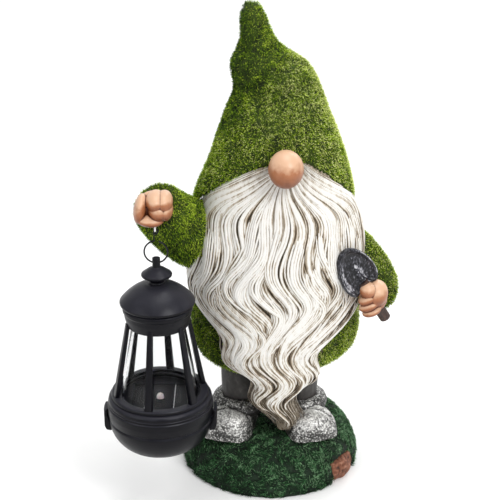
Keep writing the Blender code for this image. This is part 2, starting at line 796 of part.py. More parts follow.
def bowl_curve(t):
    """Point of the bowl's outer curve, from its rim at t = 0 to its flat floor at t = 1."""
    angle = math.pi / 2 * t
    depth = SEAM_Z - GAP - BOWL_FLOOR_Z
    radius = BOWL_FLOOR_RADIUS + (COLLAR_RADIUS - BOWL_FLOOR_RADIUS) * math.cos(angle) ** 0.9
    return (radius, BOWL_FLOOR_Z + depth * (1 - math.sin(angle) ** 1.1))


def build_ears():
    """Two curved grips, left and right, that reach up from the bowl's rim beside the collar."""
    rim_z = SEAM_Z - GAP
    profile = [
        (EAR_RADIUS, EAR_TOP),
        (EAR_RADIUS, 0.0610),
        (0.0360, 0.0585),
        (0.0322, 0.0585),
        (0.0322, rim_z),
        (0.0352, rim_z),
        (0.0352, EAR_TOP),
    ]
    ears = turned("ears", profile, AXIS, closed=True)
    span = block("ear_span", (3 * EAR_RADIUS, 0.0125, 0.1), (HANG_X, HANG_Y, SEAM_Z))
    keep = ears.modifiers.new("keep_two", "BOOLEAN")
    keep.operation = "INTERSECT"
    keep.object = span
    return ears


def build_bowl(slot):
    """Lower half of the housing, with ears, screw bosses and the switch's slot."""
    profile = [bowl_curve(i / 7) for i in range(8)] + [(0.0, BOWL_FLOOR_Z)]
    bowl = shell(turned("lantern_bowl", profile, AXIS, LANTERN_BLACK, roughness=0.4), HOUSING_WALL)
    unite(bowl, build_ears())
    for i, azimuth in enumerate(PILLAR_AZIMUTHS):
        centre = on_ring(PILLAR_RING_RADIUS, azimuth)
        unite(bowl, cylinder("boss_%d" % i, BOSS_RADIUS, BOWL_FLOOR_Z + HOUSING_WALL * 0.9,
                             PILLAR_END, centre))
        subtract(bowl, cylinder("screw_pocket_%d" % i, SCREW_HEAD_RADIUS + GAP,
                                BOWL_FLOOR_Z - 0.01, SCREW_SEAT_Z, centre))
        subtract(bowl, cylinder("screw_hole_%d" % i, SCREW_RADIUS + GAP,
                                SCREW_SEAT_Z - 0.001, PILLAR_END + 0.001, centre))
    return subtract(bowl, slot)


def build_screws():
    """Three screws up through the bowl's bosses into the deck's pillars."""
    screws = []
    for i, azimuth in enumerate(PILLAR_AZIMUTHS):
        head_top = SCREW_SEAT_Z - GAP
        profile = [
            (0.0, SCREW_SEAT_Z + SCREW_SHANK),
            (SCREW_RADIUS, SCREW_SEAT_Z + SCREW_SHANK - 0.0015),
            (SCREW_RADIUS, head_top),
            (SCREW_HEAD_RADIUS, head_top),
            (SCREW_HEAD_RADIUS * 0.9, head_top - SCREW_HEAD_HEIGHT),
            (0.0, head_top - SCREW_HEAD_HEIGHT),
        ]
        screws.append(turned("bowl_screw_%d" % (i + 1), profile, on_ring(PILLAR_RING_RADIUS, azimuth),
                             SILVER, steps=12, roughness=0.3, metallic=1.0))
    return screws


def build_deck():
    """Disc under the window that carries the solar cell, with pillars for the bowl's screws."""
    deck = cylinder("lamp_deck", DECK_RADIUS, DECK_Z, DECK_TOP, AXIS, LANTERN_BLACK, sides=32,
                    roughness=0.5)
    led_hole = cylinder("led_hole", LED_RADIUS + GAP, DECK_Z - 0.01, DECK_TOP + 0.01, AXIS)
    for i, azimuth in enumerate(PILLAR_AZIMUTHS):
        centre = on_ring(PILLAR_RING_RADIUS, azimuth)
        unite(deck, cylinder("pillar_%d" % i, PILLAR_RADIUS, PILLAR_END + GAP, DECK_Z + 0.001, centre))
        subtract(deck, cylinder("pilot_%d" % i, SCREW_RADIUS + GAP, PILLAR_END - 0.001,
                                SCREW_SEAT_Z + SCREW_SHANK + 0.0005, centre))
    subtract(deck, led_hole)
    return deck, led_hole


def build_lamp(led_hole):
    """Solar cell, LED and circuit board."""
    panel = block("solar_panel", (PANEL_SIZE, PANEL_SIZE, PANEL_THICKNESS),
                  (HANG_X, HANG_Y, DECK_TOP + GAP + PANEL_THICKNESS / 2), CELL_BLUE, roughness=0.2)
    subtract(panel, led_hole)
    led_top = DECK_TOP + PANEL_THICKNESS + 0.0035
    profile = [(LED_RADIUS * math.sin(a), led_top - LED_RADIUS * (1 - math.cos(a)))
               for a in (math.pi / 8 * i for i in range(5))]
    led_foot = BOARD_Z + BOARD_SIZE[2] + GAP
    profile += [(LED_RADIUS, led_foot), (0.0, led_foot)]
    led = turned("led", profile, AXIS, LED_WHITE, steps=16, roughness=0.15)
    board = block("circuit_board", BOARD_SIZE, (HANG_X, HANG_Y, BOARD_Z + BOARD_SIZE[2] / 2),
                  BOARD_GREEN, roughness=0.4)
    return [panel, led, board]


def build_battery():
    """Rechargeable cell in its holder, with both contacts and their leads."""
    y = HANG_Y + BATTERY_Y_OFFSET
    holder_z = BATTERY_Z - 0.0020
    holder = block("battery_holder", HOLDER_SIZE, (HANG_X, y, holder_z), LANTERN_BLACK, roughness=0.6)
    trough = block("battery_trough", TROUGH_SIZE, (HANG_X, y, holder_z + 0.0015))
    subtract(holder, trough)

    end = BATTERY_LENGTH / 2
    nub_radius, nub_length = 0.0019, 0.0010
    profile = [
        (0.0, end),
        (nub_radius, end),
        (nub_radius, end - nub_length),
        (BATTERY_RADIUS - 0.0004, end - nub_length),
        (BATTERY_RADIUS, end - nub_length - 0.0004),
        (BATTERY_RADIUS, -end),
        (0.0, -end),
    ]
    battery = turned("battery", profile, AXIS, CELL_GREEN, steps=20, roughness=0.3)
    battery.location = (HANG_X, y, BATTERY_Z)
    battery.rotation_euler.y = math.pi / 2

    pieces = [holder, battery]
    for name, lead, sign, colour in (("battery_contact_positive", "red_lead", 1, WIRE_RED),
                                     ("battery_contact_negative", "black_lead", -1, LANTERN_BLACK)):
        x = HANG_X + sign * (end + 0.0012)
        pieces.append(block(name, CONTACT_SIZE, (x, y, BATTERY_Z), SILVER, roughness=0.3,
                            metallic=1.0))
        points = [(0, 0, 0.0), (0, 0, 0.0012), (-sign * 0.0060, 0.0010, 0.0030),
                  (-sign * 0.0135, 0.0020, 0.0038)]
        pieces.append(wire(lead, points, LEAD_RADIUS, (x, y, BATTERY_Z + 0.0047), colour, roughness=0.5))
    return pieces


def build_switch():
    """Slide switch on the bowl's floor; its knob pokes down through a slot."""
    slot = block("switch_slot", (SWITCH_TRAVEL + KNOB_WIDTH + 2 * GAP, KNOB_WIDTH + 2 * GAP, SLOT_HEIGHT),
                 (HANG_X, HANG_Y, BOWL_FLOOR_Z - 0.0015 + SLOT_HEIGHT / 2))
    body_z = BOWL_FLOOR_Z + HOUSING_WALL + GAP + SWITCH_BODY_SIZE[2] / 2
    body = block("switch_body", SWITCH_BODY_SIZE, (HANG_X, HANG_Y, body_z), SILVER, roughness=0.4)
    subtract(body, slot)
    knob = block("switch_knob", (KNOB_WIDTH, KNOB_WIDTH, KNOB_HEIGHT),
                 (HANG_X - SWITCH_TRAVEL / 2, HANG_Y, BOWL_FLOOR_Z + KNOB_REACH - KNOB_HEIGHT / 2),
                 LANTERN_BLACK, roughness=0.5)
    return slot, body, knob


def build_lantern():
    """Every part below the bail; returns the lantern's parts and the switch's knob."""
    slot, switch_body, knob = build_switch()
    deck, led_hole = build_deck()
    parts = [build_finial(), build_roof(), build_cage(), build_chimney(), build_collar(),
             build_bowl(slot), deck, switch_body]
    return parts + build_lamp(led_hole) + build_battery() + build_screws(), knob


# ------------------------------------------------------------------- assembly

for old in list(bpy.data.objects):
    bpy.data.objects.remove(old, do_unlink=True)
PARTS = new_collection("garden_gnome")
CUTTERS = new_collection("cutters")

build_base()
GROUND = block("ground_space", (0.3, 0.3, 0.1), (0, 0, BASE_TOP + GAP - 0.05))
BOOT_SPACES = [build_foot("right", GROUND), build_foot("left", GROUND)]
RIGHT_FIST, LEFT_FIST = build_body(BOOT_SPACES)
build_trowel(LEFT_FIST)
build_eye(RIGHT_FIST)

BAIL = build_bail()
LANTERN, KNOB = build_lantern()
BAIL_PIVOT = pivot_at("bail_pivot", (HANG_X, HANG_Y, EYE_Z))
LANTERN_PIVOT = pivot_at("lantern_pivot", (HANG_X, HANG_Y, STEM_PIVOT_Z))
hang_from(BAIL_PIVOT, BAIL, LANTERN_PIVOT)
hang_from(LANTERN_PIVOT, *LANTERN, KNOB)
bpy.context.view_layer.update()
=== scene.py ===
"""Looks of the garden gnome with its hanging solar lantern and trowel.

Metres, in the CAD frame: +Z up, the gnome faces -Y, its right hand is at -X.
"""
import json
import math

import bmesh
import bpy
import numpy as np
from mathutils import Matrix, Vector, noise
from mathutils.bvhtree import BVHTree
from mathutils.geometry import interpolate_bezier


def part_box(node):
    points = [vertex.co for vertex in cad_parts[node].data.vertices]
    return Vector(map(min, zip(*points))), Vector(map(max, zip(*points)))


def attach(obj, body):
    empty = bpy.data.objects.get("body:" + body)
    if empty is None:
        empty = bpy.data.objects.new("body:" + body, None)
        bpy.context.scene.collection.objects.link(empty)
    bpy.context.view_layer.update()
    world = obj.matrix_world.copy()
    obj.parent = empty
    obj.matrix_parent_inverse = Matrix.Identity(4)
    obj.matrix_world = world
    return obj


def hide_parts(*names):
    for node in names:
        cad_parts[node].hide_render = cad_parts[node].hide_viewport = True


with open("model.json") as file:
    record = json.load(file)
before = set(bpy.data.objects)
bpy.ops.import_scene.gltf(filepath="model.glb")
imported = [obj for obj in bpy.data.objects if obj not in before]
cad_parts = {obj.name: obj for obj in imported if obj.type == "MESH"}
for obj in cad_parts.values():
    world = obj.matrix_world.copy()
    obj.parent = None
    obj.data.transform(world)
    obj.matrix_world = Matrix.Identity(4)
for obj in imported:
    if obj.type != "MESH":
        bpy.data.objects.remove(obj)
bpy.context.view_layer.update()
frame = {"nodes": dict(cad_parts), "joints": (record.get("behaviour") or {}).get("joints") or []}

MM = 0.001
NODES = frame["nodes"]
# Nodes that fibres keep clear of.
STATUE_FORMS = ("hat", "coat", "beard", "right_sleeve", "left_sleeve", "right_fist", "left_fist",
                "nose", "base_mound", "base_stone", "right_boot", "left_boot", "right_boot_cuff",
                "left_boot_cuff", "right_leg", "left_leg")

# ------------------------------------------------------------------ view

CAMERA_LOCATION = (-0.0144, -0.8147, 0.5033)
CAMERA_TILT = 67.06             # degrees up from straight down
CAMERA_LENS = 93.6              # for a 36 mm sensor

# ----------------------------------------------------------------- flock

FIBRE_LENGTH = 2.9 * MM
FIBRE_WIDTH = 0.18 * MM         # half width at the root
FIBRES_PER_MM2 = 2.10
SUNNY_SIDE = (0.60, -0.10, 0.50)  # painted light: flock facing this way takes lighter fibres, as on its lit side
HAT_SHADE_FOOT = 0.244          # height where the painted shade on the hat's tip starts, at x = -29 mm
CLEARANCE = 1.6 * MM            # free space that a fibre needs in front of its root

# -------------------------------------------------------- mound and boots

GRASS_LENGTH = 4.4 * MM
GRASS_WIDTH = 0.17 * MM         # half width at the root
GRASS_PER_MM2 = 2.10
GRASS_CLEARANCE = 1.2 * MM
LOWEST = 0.1 * MM               # fibres, grass and stone stay above this height
STONE_ROUNDNESS = 0.45          # 0 is the CAD block, 1 an egg
DOT_SIZE = 1.35 * MM            # stipple on the boots
CUFF_FULLNESS = 2.5             # mm that the looks add to the rolled boot tops

# ----------------------------------------------------------------- beard

STRANDS_ACROSS = 90             # strands of the layer that covers the whole beard
STRANDS_PER_LOCK = 5
BEARD_WRAP = math.radians(94)   # how far round the sides the strands reach
STRAND_STEP = 1.8 * MM
STRAND_SIDES = 6
OVER_LOCKS = 64                 # loose locks that lie over the others
LOOSE_REACH = 0.88              # share of the beard's width that they cover
FAN_TOP, FAN_FOOT = 0.245, 0.188        # heights between which the hair spreads from the nose
SWING_TOP = 0.216               # height where the hair starts to swing from side to side
SWING = 9.5 * MM                # its widest swing
SWING_RAMP = 0.065              # height in which the swing grows to that
TIP_SWAY = 4.0 * MM             # how far the whole tip bends from side to side
TIP_TOP = 0.125                 # height where that starts
SETTLE_HEIGHT = 0.10            # over the tip; below that, swing and straying fade out
WANDER = 6.5 * MM               # how far neighbouring locks stray from an even spacing
WANDER_TOP = 0.222              # height where that starts
HOLLOW = 2.0 * MM               # height of the locks over the hollows between them
EDGE_CURL = 6.5 * MM            # how far locks at the sides stand out where they swing outwards
CHEEK_FOOT = 0.176              # height above which hair at the sides lies flat
NOSE_FOOT = 0.236               # height above which hair lies flatter, round the nose
GOLDEN = 0.618034               # share of the beard between one loose lock and the next

# --------------------------------------------------------------- lantern

LANTERN_STEPS = 96              # sides of its round parts
WIRE_ROUNDNESS = 5              # bevel steps of a wire
POSTS = 6
FIRST_POST = math.radians(-10.7)  # turn of the first post from the front
EDGE_ANGLE = math.radians(50)   # sharper edges than this stay crisp


# ================================================================ helpers


def srgb(red, green, blue):
    """Linear colour from display values of 0 to 255."""
    linear = []
    for value in (red, green, blue):
        share = value / 255
        linear.append(share / 12.92 if share <= 0.04045 else ((share + 0.055) / 1.055) ** 2.4)
    return (*linear, 1.0)


def clamp(value, low=0.0, high=1.0):
    """Value kept between two limits."""
    return min(high, max(low, value))


def joint_place(name):
    """Where a joint of the frame has its axis, as x, y and z."""
    return next(joint["pos_m"] for joint in frame["joints"] if joint["name"] == name)


def coordinates(mesh):
    """Vertex positions as an array."""
    flat = np.empty(len(mesh.vertices) * 3, np.float32)
    mesh.vertices.foreach_get("co", flat)
    return flat.reshape(-1, 3).astype(float)


def set_coordinates(mesh, points):
    """Move the vertices to an array of positions."""
    mesh.vertices.foreach_set("co", np.asarray(points, np.float32).ravel())
    mesh.update()


def normals_of(mesh):
    """Vertex normals as an array."""
    flat = np.empty(len(mesh.vertices) * 3, np.float32)
    mesh.vertex_normals.foreach_get("vector", flat)
    return flat.reshape(-1, 3).astype(float)


def push_out(mesh, distances):
    """Move each vertex along its normal by its own distance."""
    set_coordinates(mesh, coordinates(mesh) + normals_of(mesh) * distances[:, None])


def mesh_from(bm, name):
    """Turn a bmesh into a mesh and free it."""
    mesh = bpy.data.meshes.new(name)
    bm.to_mesh(mesh)
    bm.free()
    return mesh


def shade(mesh, sharp_angle=None):
    """Smooth shading, with crisp edges above an angle if one is given."""
    mesh.shade_smooth()
    if sharp_angle is not None:
        mesh.set_sharp_from_angle(angle=sharp_angle)
    return mesh


def unit(vectors):
    """Rows scaled to length one."""
    return vectors / np.maximum(np.linalg.norm(vectors, axis=1, keepdims=True), 1e-12)


def noise_at(points, size, seed=0.0):
    """Smooth noise of about -1 to 1 at each point, with lumps of the given size."""
    shift = Vector((seed * 7.3, seed * 3.1, seed * 5.7))
    return np.array([noise.noise(Vector(point) / size + shift) for point in points])


def store(mesh, name, values):
    """Keep one number per vertex for the material."""
    attribute = mesh.attributes.new(name, "FLOAT", "POINT")
    attribute.data.foreach_set("value", np.asarray(values, np.float32))


def store_relief(mesh, passes, reach):
    """Keep how a point lies against its surroundings: 0 in a groove, 1 on a ridge."""
    points = coordinates(mesh)
    pairs = np.empty(len(mesh.edges) * 2, np.int32)
    mesh.edges.foreach_get("vertices", pairs)
    first, second = pairs.reshape(-1, 2).T
    count = np.maximum(np.bincount(pairs, minlength=len(points)), 1)[:, None]
    soft = points.copy()
    for _ in range(passes):
        total = np.zeros_like(soft)
        np.add.at(total, first, soft[second])
        np.add.at(total, second, soft[first])
        soft = 0.5 * soft + 0.5 * total / count
    height = ((points - soft) * normals_of(mesh)).sum(axis=1)
    store(mesh, "relief", np.clip(0.5 + height / (2 * reach), 0, 1))


def in_mm(points, base, way=1):
    """Profile in metres from (radius, height) points in mm, counted up or down from a height."""
    return [(radius * MM, base + way * height * MM) for radius, height in points]


def add_piece(name, data, body, materials, replaced=()):
    """Add a visible piece that rides on a CAD body."""
    obj = bpy.data.objects.new(name, data)
    bpy.context.scene.collection.objects.link(obj)
    for look in materials:
        data.materials.append(look)
    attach(obj, body)
    if replaced:
        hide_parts(*replaced)
    return obj


def baked_mesh(mesh, *modifiers):
    """Mesh after modifiers, each given as (type, settings)."""
    helper = bpy.data.objects.new("helper", mesh)
    bpy.context.scene.collection.objects.link(helper)
    for kind, settings in modifiers:
        modifier = helper.modifiers.new(kind.lower(), kind)
        for key, value in settings.items():
            setattr(modifier, key, value)
    bpy.context.view_layer.update()
    graph = bpy.context.evaluated_depsgraph_get()
    result = bpy.data.meshes.new_from_object(helper.evaluated_get(graph))
    bpy.data.objects.remove(helper)
    return result


def node_copy(name):
    """Welded copy of a CAD node's mesh."""
    bm = bmesh.new()
    bm.from_mesh(NODES[name].data)
    bmesh.ops.remove_doubles(bm, verts=bm.verts, dist=0.01 * MM)
    return mesh_from(bm, name + "_copy")


def even_mesh(mesh, voxel, smoothing):
    """Mesh with faces of one size, softened."""
    return shade(baked_mesh(
        mesh,
        ("REMESH", {"mode": "VOXEL", "voxel_size": voxel}),
        ("SMOOTH", {"factor": 0.5, "iterations": smoothing}),
    ))


def join_ellipsoids(lumps, centre, voxel, smoothing):
    """One even mesh round ellipsoids given in mm as (centre, half size, tilt about Y in degrees)."""
    bm = bmesh.new()
    for place, half_size, tilt in lumps:
        matrix = (Matrix.Translation(Vector(place) * MM)
                  @ Matrix.Rotation(math.radians(tilt), 4, "Y")
                  @ Matrix.Diagonal((*(Vector(half_size) * MM), 1.0)))
        bmesh.ops.create_uvsphere(bm, u_segments=28, v_segments=20, radius=1.0, matrix=matrix)
    bmesh.ops.translate(bm, verts=bm.verts, vec=centre)
    return even_mesh(mesh_from(bm, "lumps"), voxel, smoothing)


def bridge(bm, rings, steps):
    """Faces from each ring of vertices to the next; a ring may be a single point."""
    for upper, lower in zip(rings, rings[1:]):
        for i in range(steps):
            j = (i + 1) % steps
            corners = [upper[i % len(upper)], lower[i % len(lower)],
                       lower[j % len(lower)], upper[j % len(upper)]]
            corners = list(dict.fromkeys(corners))
            if len(corners) > 2:
                bm.faces.new(corners)


def turned_mesh(profile, axis, steps=LANTERN_STEPS):
    """Solid of revolution about a vertical axis; the closed profile is (radius, z) points."""
    bm = bmesh.new()
    rings = []
    for radius, z in profile:
        if radius < 1e-6:
            rings.append([bm.verts.new((axis[0], axis[1], z))])
            continue
        angles = (2 * math.pi * i / steps for i in range(steps))
        rings.append([bm.verts.new((axis[0] + radius * math.cos(a), axis[1] + radius * math.sin(a), z))
                      for a in angles])
    bridge(bm, rings + rings[:1], steps)
    bmesh.ops.recalc_face_normals(bm, faces=bm.faces)
    return shade(mesh_from(bm, "turned"), math.radians(42))


def rounded(profile, radius, steps=4):
    """Closed profile with its corners replaced by short arcs."""
    points = [Vector(point) for point in profile]
    result = []
    count = len(points)
    for i, corner in enumerate(points):
        before, after = points[i - 1], points[(i + 1) % count]
        sides = (corner - before).length, (after - corner).length
        if min(sides) < 1e-9:
            result.append(tuple(corner))
            continue
        reach = min(radius, *(side * 0.45 for side in sides))
        start = corner + (before - corner).normalized() * reach
        end = corner + (after - corner).normalized() * reach
        for k in range(steps + 1):
            t = k / steps
            result.append(tuple(start * (1 - t) ** 2 + corner * 2 * t * (1 - t) + end * t ** 2))
    return result


def wire_mesh(points, radius):
    """Closed round wire through points."""
    curve = bpy.data.curves.new("wire", "CURVE")
    curve.dimensions = "3D"
    curve.bevel_depth = radius
    curve.bevel_resolution = WIRE_ROUNDNESS
    curve.use_fill_caps = True
    spline = curve.splines.new("POLY")
    spline.points.add(len(points) - 1)
    for spline_point, point in zip(spline.points, points):
        spline_point.co = (*point, 1.0)
    helper = bpy.data.objects.new("wire", curve)
    bpy.context.scene.collection.objects.link(helper)
    bpy.context.view_layer.update()
    graph = bpy.context.evaluated_depsgraph_get()
    mesh = bpy.data.meshes.new_from_object(helper.evaluated_get(graph))
    bpy.data.objects.remove(helper)
    bm = bmesh.new()
    bm.from_mesh(mesh)
    bmesh.ops.remove_doubles(bm, verts=bm.verts, dist=0.001 * MM)
    bm.to_mesh(mesh)
    bm.free()
    return shade(mesh)


# ============================================================== materials


class Look:
    """A Principled material and the node graph that feeds it. Sizes are in metres."""

    def __init__(self, name, roughness=0.5, **sockets):
        self.material = bpy.data.materials.new(name)
        self.material.use_nodes = True
        self.tree = self.material.node_tree
        self.shader = self.tree.nodes["Principled BSDF"]
        self.set("Roughness", roughness)
        for socket, value in sockets.items():
            self.set(socket.replace("_", " "), value)
        self.position = self.add("ShaderNodeTexCoord").outputs["Object"]

    def add(self, kind, **settings):
        """New node with its settings."""
        node = self.tree.nodes.new(kind)
        for key, value in settings.items():
            setattr(node, key, value)
        return node

    def feed(self, socket, value):
        """Link a socket, or set its value."""
        if isinstance(value, bpy.types.NodeSocket):
            self.tree.links.new(value, socket)
        else:
            socket.default_value = value

    def set(self, socket, value):
        """Feed one of the shader's sockets."""
        self.feed(self.shader.inputs[socket], value)

    def noise(self, size, detail=3.0, stretch=(1, 1, 1)):
        """Noise with lumps of the given size, stretched along the axes."""
        mapping = self.add("ShaderNodeMapping")
        self.feed(mapping.inputs["Vector"], self.position)
        mapping.inputs["Scale"].default_value = [1 / (size * s) for s in stretch]
        texture = self.add("ShaderNodeTexNoise")
        self.feed(texture.inputs["Vector"], mapping.outputs["Vector"])
        texture.inputs["Scale"].default_value = 1.0
        texture.inputs["Detail"].default_value = detail
        return texture.outputs["Fac"]

    def cells(self, size):
        """Distance to the nearest of scattered points."""
        texture = self.add("ShaderNodeTexVoronoi")
        self.feed(texture.inputs["Vector"], self.position)
        texture.inputs["Scale"].default_value = 1 / size
        return texture.outputs["Distance"]

    def stored(self, name):
        """Number kept on the mesh."""
        return self.add("ShaderNodeAttribute", attribute_name=name).outputs["Fac"]

    def facing(self, direction):
        """How far the surface's normal points in a direction, from -1 to 1."""
        node = self.add("ShaderNodeVectorMath", operation="DOT_PRODUCT")
        self.feed(node.inputs[0], self.add("ShaderNodeNewGeometry").outputs["Normal"])
        node.inputs[1].default_value = Vector(direction).normalized()
        return node.outputs["Value"]

    def facing_up(self):
        """Upward part of the surface's normal, from -1 to 1."""
        return self.facing((0.0, 0.0, 1.0))

    def total(self, first, *others):
        """Sum of values."""
        for other in others:
            node = self.add("ShaderNodeMath", operation="ADD")
            self.feed(node.inputs[0], first)
            self.feed(node.inputs[1], other)
            first = node.outputs[0]
        return first

    def spread(self, value, low, high, to_low=0.0, to_high=1.0):
        """Value stretched from one range to another, and kept inside it."""
        node = self.add("ShaderNodeMapRange", interpolation_type="SMOOTHSTEP")
        for socket, number in zip(("Value", "From Min", "From Max", "To Min", "To Max"),
                                  (value, low, high, to_low, to_high)):
            self.feed(node.inputs[socket], number)
        return node.outputs["Result"]

    def ramp(self, value, *stops):
        """Colour ramp through (place, colour) stops."""
        node = self.add("ShaderNodeValToRGB")
        elements = node.color_ramp.elements
        for element, (place, colour) in zip((elements[0], elements[1]), (stops[0], stops[-1])):
            element.position = place
            element.color = colour
        for place, colour in stops[1:-1]:
            elements.new(place).color = colour
        self.feed(node.inputs["Fac"], value)
        return node.outputs["Color"]

    def paint(self, pattern, *stops):
        """Colour the surface by a pattern; stops are (place, display colour of 0 to 255)."""
        colours = ((place, srgb(*colour)) for place, colour in stops)
        self.set("Base Color", self.ramp(pattern, *colours))

    def mix(self, share, first, second):
        """Blend of two colours."""
        node = self.add("ShaderNodeMix", data_type="RGBA")
        self.feed(node.inputs["Factor"], share)
        self.feed(node.inputs[6], first)
        self.feed(node.inputs[7], second)
        return node.outputs[2]

    def bump(self, height, depth, strength=1.0):
        """Feed the shader's normal with a fine relief."""
        node = self.add("ShaderNodeBump")
        self.feed(node.inputs["Height"], height)
        node.inputs["Distance"].default_value = depth
        node.inputs["Strength"].default_value = strength
        self.set("Normal", node.outputs["Normal"])


def flock_skin(name, dark, light):
    """Glued ground under the fibres: mottled and matt."""
    look = Look(name, roughness=0.95)
    patches = look.noise(6 * MM, detail=5)
    look.set("Base Color", look.ramp(patches, (0.35, dark), (0.7, light)))
    look.bump(look.noise(0.6 * MM), 0.4 * MM)
    return look.material


def fibre_looks(name, *colours):
    """Plain cut fibres with a soft sheen, one look for each colour."""
    return [Look("%s_%d" % (name, i), roughness=0.6, Base_Color=srgb(*colour),
                 Specular_IOR_Level=0.2).material for i, colour in enumerate(colours)]


def hair_look():
    """Painted resin hair: white crests, tan shoulders and a dark wash in the grooves, which is also
    painted shade between the strands; strands lying low are painted darker, as painted shade.
    """
    look = Look("painted_beard", roughness=0.48, Specular_IOR_Level=0.4)
    crest = look.stored("crest")
    depth = look.stored("depth")
    wander = look.spread(look.noise(3.5 * MM, detail=3, stretch=(1, 1, 3)), 0.3, 0.7, -0.05, 0.07)
    fine = look.spread(look.noise(0.7 * MM, detail=2, stretch=(1, 1, 5)), 0.3, 0.7, -0.03, 0.03)
    # Painted shade: the crest darkens the sides of each strand, and the stored depth darkens strands
    # that lie low or under other locks.
    level = look.total(crest, wander, fine, look.spread(depth, 0.15, 0.85, -0.25, 0.06))
    look.paint(level, (0.56, (50, 40, 30)), (0.70, (130, 112, 88)), (0.81, (204, 192, 173)),
               (0.90, (240, 238, 233)))
    look.bump(look.noise(0.5 * MM, detail=2, stretch=(1, 1, 6)), 0.12 * MM)
    return look.material


def under_beard_look():
    """Streaky tan wash that shows between the strands, also painted shade deep between them."""
    look = Look("beard_ground", roughness=0.7)
    streaks = look.noise(1.1 * MM, detail=3, stretch=(1, 1, 8))
    look.paint(streaks, (0.35, (92, 76, 58)), (0.7, (196, 184, 162)))
    look.bump(streaks, 0.5 * MM)
    return look.material


def skin_look():
    """Hand-painted skin: paler where it faces up and orange-brown below, partly its paint and partly
    painted light and shade; dark brown in the creases.
    """
    look = Look("painted_skin", roughness=0.36, Specular_IOR_Level=0.45)
    cloud = look.spread(look.noise(5 * MM, detail=3), 0.3, 0.7, -0.12, 0.12)
    # Painted light and shade: the colour is paler on upward faces and darker orange-brown on lower
    # ones.
    height = look.total(look.facing_up(), cloud)
    painted = look.ramp(look.spread(height, -0.9, 0.8), (0.0, srgb(116, 64, 36)),
                        (0.36, srgb(156, 96, 60)), (0.62, srgb(172, 111, 74)),
                        (0.92, srgb(218, 176, 144)))
    crease = look.spread(look.stored("relief"), 0.32, 0.50)
    look.set("Base Color", look.mix(crease, srgb(96, 46, 20), painted))
    look.bump(look.noise(0.8 * MM, detail=3), 0.08 * MM)
    return look.material


def boot_look(name, silver):
    """Stippled leather in dark grey under a dry brush; silver is how much of it there is. Faces turned
    up and forward are lighter, partly the dry brush and partly painted light.
    """
    look = Look(name, roughness=0.42, Specular_IOR_Level=0.55)
    dots = look.cells(DOT_SIZE)
    speckle = look.total(look.spread(dots, 0.1, 0.62, 0.60, 0.36),
                         look.spread(look.noise(1.1 * MM, detail=2), 0.3, 0.7, -0.06, 0.06))
    patch = look.spread(look.noise(6 * MM, detail=2), 0.3, 0.7, -0.05 + silver, 0.05 + silver)
    # Partly painted light: faces turned up and forward are lighter, lower ones darker.
    brushed = look.spread(look.facing((0.0, -0.35, 0.94)), 0.0, 0.97, -0.10, 0.14)
    ridge = look.spread(look.stored("relief"), 0.2, 0.8, -0.16, 0.12)
    level = look.total(speckle, patch, brushed, ridge)
    look.paint(level, (0.36, (30, 28, 26)), (0.48, (88, 87, 85)), (0.58, (168, 167, 164)),
               (0.70, (236, 235, 232)))
    look.set("Metallic", look.spread(level, 0.5, 0.72, 0.0, 0.35))
    look.bump(speckle, 0.35 * MM)
    return look.material


def trouser_look():
    """Dark warm grey paint, lighter where it was brushed."""
    look = Look("painted_trousers", roughness=0.6)
    brushed = look.noise(3.2 * MM, detail=4, stretch=(1, 1, 1.6))
    look.paint(brushed, (0.3, (46, 43, 41)), (0.6, (62, 59, 56)), (0.8, (84, 80, 77)))
    look.bump(look.noise(0.9 * MM, detail=4), 0.15 * MM)
    return look.material


def stone_look():
    """Mottled terracotta stone, paler where it stands out."""
    look = Look("ochre_stone", roughness=0.75)
    mottle = look.noise(2.2 * MM, detail=6)
    level = look.total(mottle, look.spread(look.stored("relief"), 0.2, 0.8, -0.12, 0.12))
    look.paint(level, (0.30, (58, 36, 26)), (0.50, (116, 68, 46)), (0.66, (146, 94, 70)),
               (0.90, (180, 142, 120)))
    look.bump(look.noise(0.7 * MM, detail=5), 0.3 * MM)
    return look.material


def iron_look():
    """Charcoal paint with a grey dry brush on its ridges, and a painted highlight along the rim where
    it faces one way.
    """
    look = Look("painted_iron", roughness=0.36, Specular_IOR_Level=0.35)
    streak = look.noise(1.1 * MM, detail=5, stretch=(1, 1, 2.0))
    ridge = look.spread(look.stored("relief"), 0.62, 1.0, -0.02, 0.28)
    # Painted highlight: a light band where the rim faces towards +X, the front and up.
    bevel = look.spread(look.facing((0.75, -0.58, 0.3)), 0.92, 0.99, 0.0, 0.25)
    level = look.total(streak, ridge, bevel)
    look.paint(level, (0.40, (8, 8, 12)), (0.54, (44, 44, 50)), (0.66, (104, 104, 112)),
               (0.85, (214, 214, 218)))
    look.bump(look.noise(0.6 * MM, detail=4), 0.12 * MM)
    return look.material


def wood_look():
    """Brown-black painted handle with a grain along it."""
    look = Look("painted_wood", roughness=0.5)
    grain = look.noise(0.7 * MM, detail=5, stretch=(1, 1, 6))
    look.paint(grain, (0.35, (28, 18, 14)), (0.7, (86, 56, 42)))
    look.bump(grain, 0.15 * MM)
    return look.material


def metal_look(name, colour, roughness):
    """Drawn or plated metal with fine scuffs."""
    look = Look(name, Metallic=1.0)
    scuffs = look.noise(0.9 * MM, detail=5, stretch=(1, 1, 3))
    dull = tuple(channel * 0.72 for channel in colour[:3]) + (1.0,)
    look.set("Base Color", look.ramp(scuffs, (0.35, dull), (0.6, colour)))
    look.set("Roughness", look.spread(scuffs, 0.3, 0.7, roughness * 0.7, roughness * 1.4))
    look.bump(scuffs, 0.03 * MM)
    return look.material


